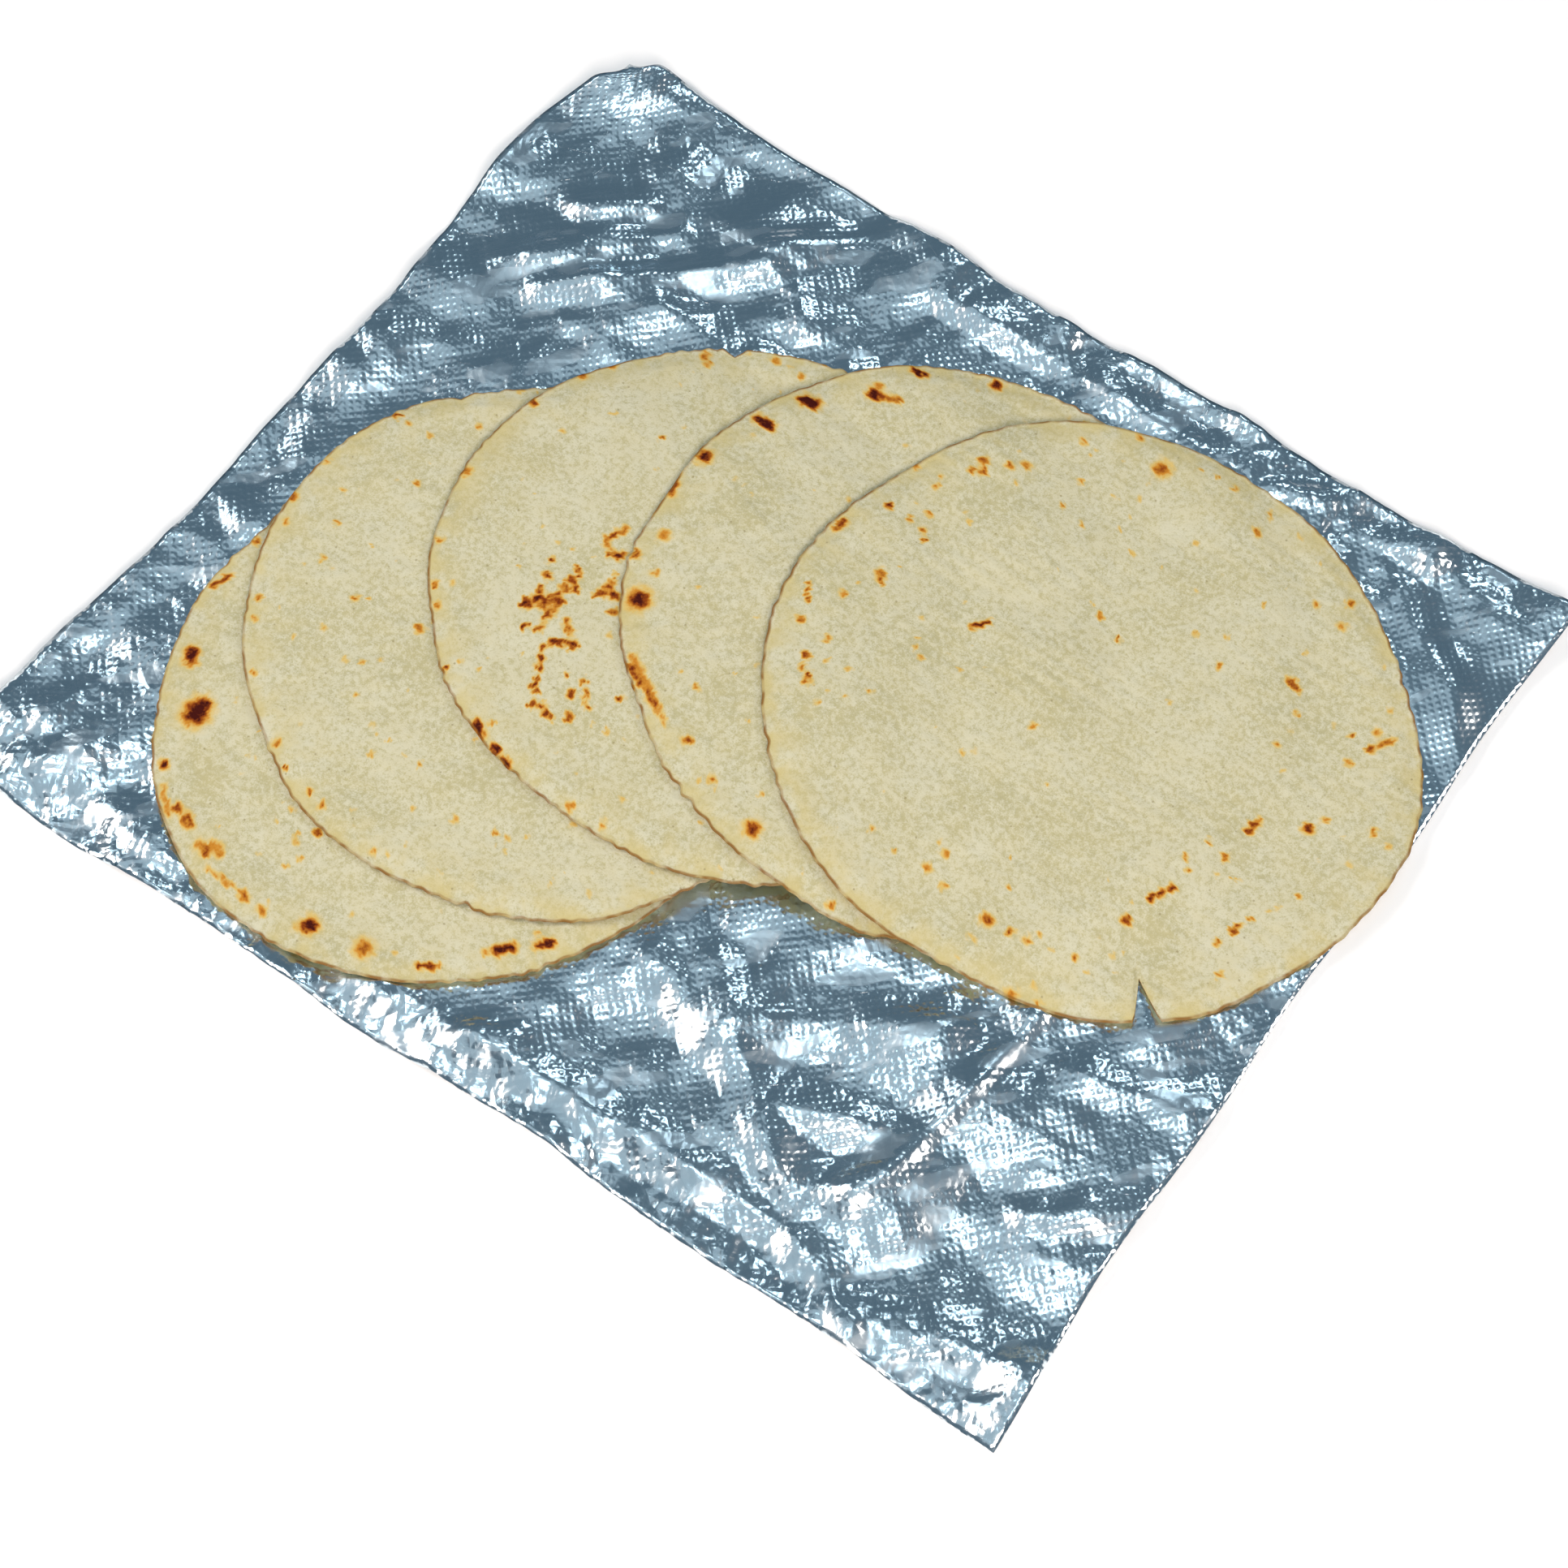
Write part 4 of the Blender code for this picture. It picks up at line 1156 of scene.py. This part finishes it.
def make_toasting_group():
    """The dough's colour once toasted: halo, orange, brown and char as the toast value rises."""
    group, given, result = new_group(
        "toasting",
        [("Place", "NodeSocketVector"), ("Dough", "NodeSocketColor"), ("Toast", "NodeSocketFloat")],
        [("Colour", "NodeSocketColor"), ("Toasted", "NodeSocketFloat")])
    grain = noise(group, given.outputs["Place"], TOAST_GRAIN_SCALE, 3.0)
    rough = maths(group, "MULTIPLY", maths(group, "SUBTRACT", grain, 0.5), TOAST_RAGGED)
    toast = given.outputs["Toast"]
    broken = maths(group, "MULTIPLY_ADD", toast, rough, toast)
    colour = given.outputs["Dough"]
    for low, high, browned in TOAST_STEPS:
        colour = mix_colours(group, between(group, broken, low, high), colour, browned)
    group.links.new(colour, result.inputs["Colour"])
    group.links.new(broken, result.inputs["Toasted"])
    return group


DOUGH = make_dough_group()
TOASTING = make_toasting_group()
print("groups:", DOUGH.name, "and", TOASTING.name)

# %% [markdown]
# One material for each tortilla, made by one function.  Texture coordinates come from the object,
# in metres, so they are first turned into millimetres, and each tortilla reads its own part of the
# pattern.  The cut edge is darker and more golden than the face: partly its own colour, partly
# painted shade for the thin dark line along the rims.

# %% Tortilla materials
# the cut edge's golden brown, darkened with painted shade for the thin line under each rim
EDGE_DOUGH_AND_SHADE = photo_colour(138, 92, 34, DAYLIGHT)
PATTERN_SHIFT = 310.0          # from one tortilla's part of the pattern to the next, in millimetres
PATCHY_SCALE = 0.22            # the cut edge is golden in patches
PATCHY_BETWEEN = (0.34, 0.62)
EDGE_SHARE = 0.3               # of the golden colour and painted shade between the patches, and what they add to it
EDGE_PATCH = 0.6
TOASTED_RELIEF = 0.10


def group_node(tree, group, **inputs):
    """A node that runs the group on these inputs."""
    made = tree.nodes.new("ShaderNodeGroup")
    made.node_tree = group
    for key, value in inputs.items():
        tree.links.new(value, made.inputs[key])
    return made


def bump_normal(tree, shader, relief):
    """Tilt the shader's normal by a relief in millimetres."""
    bump = add_node(tree, "ShaderNodeBump", {}, {"Strength": 1.0, "Distance": MM, "Height": relief})
    tree.links.new(bump.outputs[0], shader.inputs["Normal"])


def read_value(tree, name):
    """The value that add_value put on the mesh under this name."""
    return add_node(tree, "ShaderNodeAttribute", {"attribute_name": name}, {}).outputs["Fac"]


def make_tortilla_material(number):
    """Baked corn dough, with this tortilla's own part of the pattern."""
    material, tree, shader = new_material(f"baked corn dough {number}")
    where = add_node(tree, "ShaderNodeTexCoord", {}, {}).outputs["Object"]
    place = placed(tree, where, scale=(1 / MM, 1 / MM, 1 / MM), shift=(PATTERN_SHIFT * number, 0.0, 0.0))
    dough = group_node(tree, DOUGH, Place=place, Margin=read_value(tree, "margin"))
    toasted = group_node(tree, TOASTING, Place=place, Dough=dough.outputs["Colour"],
                         Toast=read_value(tree, "toast"))
    # the cut edge gets its own golden colour mixed with painted shade, in patches
    patchy = between(tree, noise(tree, place, PATCHY_SCALE, 2.0), *PATCHY_BETWEEN)
    golden = maths(tree, "MULTIPLY_ADD", patchy, EDGE_PATCH, EDGE_SHARE)
    cut = maths(tree, "MULTIPLY", read_value(tree, "edge"), golden)
    colour = mix_colours(tree, cut, toasted.outputs["Colour"], EDGE_DOUGH_AND_SHADE)
    tree.links.new(colour, shader.inputs["Base Color"])
    relief = maths(tree, "MULTIPLY_ADD", toasted.outputs["Toasted"], TOASTED_RELIEF,
                   dough.outputs["Relief"])
    bump_normal(tree, shader, relief)
    shader.inputs["Roughness"].default_value = 0.8
    shader.inputs["Specular IOR Level"].default_value = 0.15
    return material


for number, piece in tortillas.items():
    piece.data.materials.append(make_tortilla_material(number))
    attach(piece, "root")
    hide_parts(f"tortilla_{number}")
print("tortilla materials:", len(tortillas))

# %% [markdown]
# The foil's finish.  Bare aluminium mirrors its surroundings, so its look is nearly all relief: flat
# facets with sharp bounds, creases too fine for the mesh, and the lattice of pressed dots, which
# stands at 45 degrees to the sheet's sides.  Some facets are rubbed smooth: the dots are worn away
# there, and they are greyer because they mirror less sharply.  The pleated strip along the near edge
# has lost its dots as well.  The pattern reads the sheet's own UV map, so that it follows the sheet.

# %% Foil material
DOT_PITCH = 1.81
DOT_HEIGHT = 0.060
DOTS_LOST = 0.8                # the share of their height that is lost where they are flattened
FACET_WIDTH = 14.0
FACET_LENGTH = 1.9             # for a width of 1
FACET_DIRECTION = 0.72
FACET_SLOPE = 0.055
# spacing of the creases, direction, height
FINE_CREASES = [(6.1, 0.35, 0.11), (4.3, 1.45, 0.09), (3.1, 2.35, 0.075), (5.2, 2.0, 0.09),
                (2.3, 0.95, 0.055), (1.8, 2.8, 0.04)]
CREASE_BEND = 4.0              # how far the lines of the fine creases are bent
CREASE_PATCH_SCALE = 0.35      # of the patches they are kept to, for a spacing of 1
CREASE_PATCH_BETWEEN = (0.42, 0.56)
WORN_WIDTH = 9.0               # the rubbed patches
WORN_LENGTH = 2.4              # for a width of 1
WORN_DIRECTION = 0.80
WORN_BETWEEN = (0.575, 0.635)  # rubbed where the noise is above the first, in full above the second
SHINE = 0.20                   # roughness of the foil
WORN_DULLNESS = 0.10           # how much rougher it is where rubbed
# the foil's own pale grey with a blue cast, which is painted reflection of the blue-grey surroundings
FOIL_COLOUR_AND_REFLECTED_BLUE = (0.82, 0.91, 0.96, 1.0)
ZIGZAG_SCALE = math.pi / 10    # a Wave texture of scale 1 repeats after this length


def zigzag(tree, place, spacing, direction, bend):
    """A Wave texture with sharp ridges at the spacing, square to the direction, along bent lines."""
    settings = {"wave_type": "BANDS", "bands_direction": "X", "wave_profile": "TRI"}
    values = {"Vector": placed(tree, place, turn=direction), "Scale": ZIGZAG_SCALE / spacing,
              "Distortion": bend, "Detail": 2.0, "Detail Scale": 1.2}
    return add_node(tree, "ShaderNodeTexWave", settings, values).outputs["Fac"]


def facets(tree, place):
    """Flat facets, each with a tilt of its own: (place from the middle) dot (chance tilt)."""
    turned = placed(tree, place, scale=(FACET_WIDTH * FACET_LENGTH, FACET_WIDTH, 1.0),
                    turn=FACET_DIRECTION, kind="TEXTURE")
    cells = add_node(tree, "ShaderNodeTexVoronoi", {"voronoi_dimensions": "2D"},
                     {"Vector": turned, "Scale": 1.0})
    offset = vector_maths(tree, "SUBTRACT", turned, cells.outputs["Position"])
    steep = 2 * FACET_SLOPE * FACET_WIDTH
    tilt = vector_maths(tree, "SUBTRACT", cells.outputs["Color"], (0.5, 0.5, 0.5))
    tilt = vector_maths(tree, "MULTIPLY", tilt, (steep * FACET_LENGTH, steep, 0.0))
    return vector_maths(tree, "DOT_PRODUCT", offset, tilt, "Value")


def embossing(tree, place):
    """The lattice of dots: (0.5 + 0.5 cosine along one diagonal) x (the same along the other)."""
    turns = 2 * math.pi / DOT_PITCH
    turned = placed(tree, place, scale=(turns, turns, 1.0), turn=math.pi / 4)
    split = add_node(tree, "ShaderNodeSeparateXYZ", {}, {"Vector": turned})
    one = maths(tree, "MULTIPLY_ADD", maths(tree, "COSINE", split.outputs["X"]), 0.5, 0.5)
    other = maths(tree, "MULTIPLY_ADD", maths(tree, "COSINE", split.outputs["Y"]), 0.5, 0.5)
    return maths(tree, "MULTIPLY", one, other)


def make_foil_material():
    """Embossed, crumpled kitchen foil."""
    material, tree, shader = new_material("embossed foil")
    sheet = add_node(tree, "ShaderNodeTexCoord", {}, {}).outputs["UV"]
    place = placed(tree, sheet, scale=(FOIL_LENGTH, FOIL_WIDTH, 1.0))
    drawn_out = placed(tree, place, scale=(WORN_LENGTH, 1.0, 1.0), turn=WORN_DIRECTION, kind="TEXTURE")
    worn = between(tree, noise(tree, drawn_out, 1 / WORN_WIDTH), *WORN_BETWEEN)
    creases = facets(tree, place)
    for spacing, direction, height in FINE_CREASES:
        patches = noise(tree, place, CREASE_PATCH_SCALE / spacing, 1.0)
        patch = between(tree, patches, *CREASE_PATCH_BETWEEN)
        ridge = maths(tree, "MULTIPLY", zigzag(tree, place, spacing, direction, CREASE_BEND), patch)
        creases = maths(tree, "MULTIPLY_ADD", ridge, height, creases)
    creases = maths(tree, "MULTIPLY", creases, read_value(tree, "crumpled"))
    flattened = maths(tree, "MAXIMUM", worn, read_value(tree, "flattened"))
    height = maths(tree, "MULTIPLY_ADD", flattened, -DOTS_LOST * DOT_HEIGHT, DOT_HEIGHT)
    bump_normal(tree, shader, maths(tree, "MULTIPLY_ADD", embossing(tree, place), height, creases))
    tree.links.new(maths(tree, "MULTIPLY_ADD", worn, WORN_DULLNESS, SHINE), shader.inputs["Roughness"])
    # its blue cast is painted reflection, on top of what the foil really mirrors
    shader.inputs["Base Color"].default_value = FOIL_COLOUR_AND_REFLECTED_BLUE
    shader.inputs["Metallic"].default_value = 1.0
    return material


foil.data.materials.append(make_foil_material())
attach(foil, "root")
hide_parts("foil_sheet")
print("foil material:", foil.data.materials[0].name)

# %% [markdown]
# The stage.  Three warm softboxes light the dough, the strongest from the camera's side, so that
# the rims cast hardly any shadow that shows.  Foil shows what it mirrors, so the other lights are
# chosen by their reflections: small sparkle lights give the white patches, a dim wide ceiling panel
# the middle tones, and the blue-grey surroundings the steel blue between them.  The floor is plain
# and pale.

# %% Floor, surroundings and lights
SURROUNDINGS = (0.078, 0.126, 0.166, 1.0)
WARM = (1.0, 0.89, 0.82)       # the main lights, warm enough to make up for the blue-grey room
COOL = (0.75, 0.92, 1.0)       # the lights that the foil mirrors
FLOOR_HALF = 3.0
FLOOR_DROP = 0.1               # in millimetres, below the lowest points of the sheet
# name, place, size in metres, watts, colour
SOFTBOXES = [
    ("near softbox", (0.75, -0.75, 1.00), 0.70, 16.5, WARM),
    ("left softbox", (-1.10, -0.45, 1.00), 0.70, 14.0, WARM),
    ("far softbox", (1.00, 0.75, 0.90), 0.50, 6.0, WARM),
    ("ceiling panel", (-0.10, -0.25, 1.30), 1.40, 1.9, COOL),
    ("overhead sparkle", (0.08, -0.05, 1.15), 0.26, 1.0, COOL),
    ("left sparkle", (-1.05, 0.20, 1.00), 0.24, 0.6, COOL),
    ("far sparkle", (-0.30, 1.20, 1.10), 0.26, 1.0, COOL),
]


def add_floor():
    """A wide level plane just under the sheet's lowest points."""
    mesh = bpy.data.meshes.new("floor")
    half = FLOOR_HALF
    low = -FLOOR_DROP * MM
    mesh.from_pydata([(-half, -half, low), (half, -half, low), (half, half, low), (-half, half, low)],
                     [], [(0, 1, 2, 3)])
    floor = bpy.data.objects.new("floor", mesh)
    bpy.context.scene.collection.objects.link(floor)
    material, _, shader = new_material("pale floor")
    shader.inputs["Base Color"].default_value = (0.97, 0.97, 0.97, 1.0)
    shader.inputs["Roughness"].default_value = 0.8
    shader.inputs["Specular IOR Level"].default_value = 0.1
    mesh.materials.append(material)


def add_softbox(name, place, size, watts, colour):
    """A square area light that faces the stack."""
    light = bpy.data.lights.new(name, "AREA")
    light.shape = "SQUARE"
    light.size = size
    light.energy = watts
    light.color = colour
    lamp = bpy.data.objects.new(name, light)
    lamp.location = place
    lamp.rotation_euler = Vector(place).to_track_quat("Z", "Y").to_euler()
    bpy.context.scene.collection.objects.link(lamp)


add_floor()
for softbox in SOFTBOXES:
    add_softbox(*softbox)
world = bpy.data.worlds.new("surroundings")
world.use_nodes = True
world.node_tree.nodes["Background"].inputs["Color"].default_value = SURROUNDINGS
world.node_tree.nodes["Background"].inputs["Strength"].default_value = 1.0
bpy.context.scene.world = world
bpy.context.scene.view_settings.view_transform = "Standard"
print("lights:", len(SOFTBOXES))
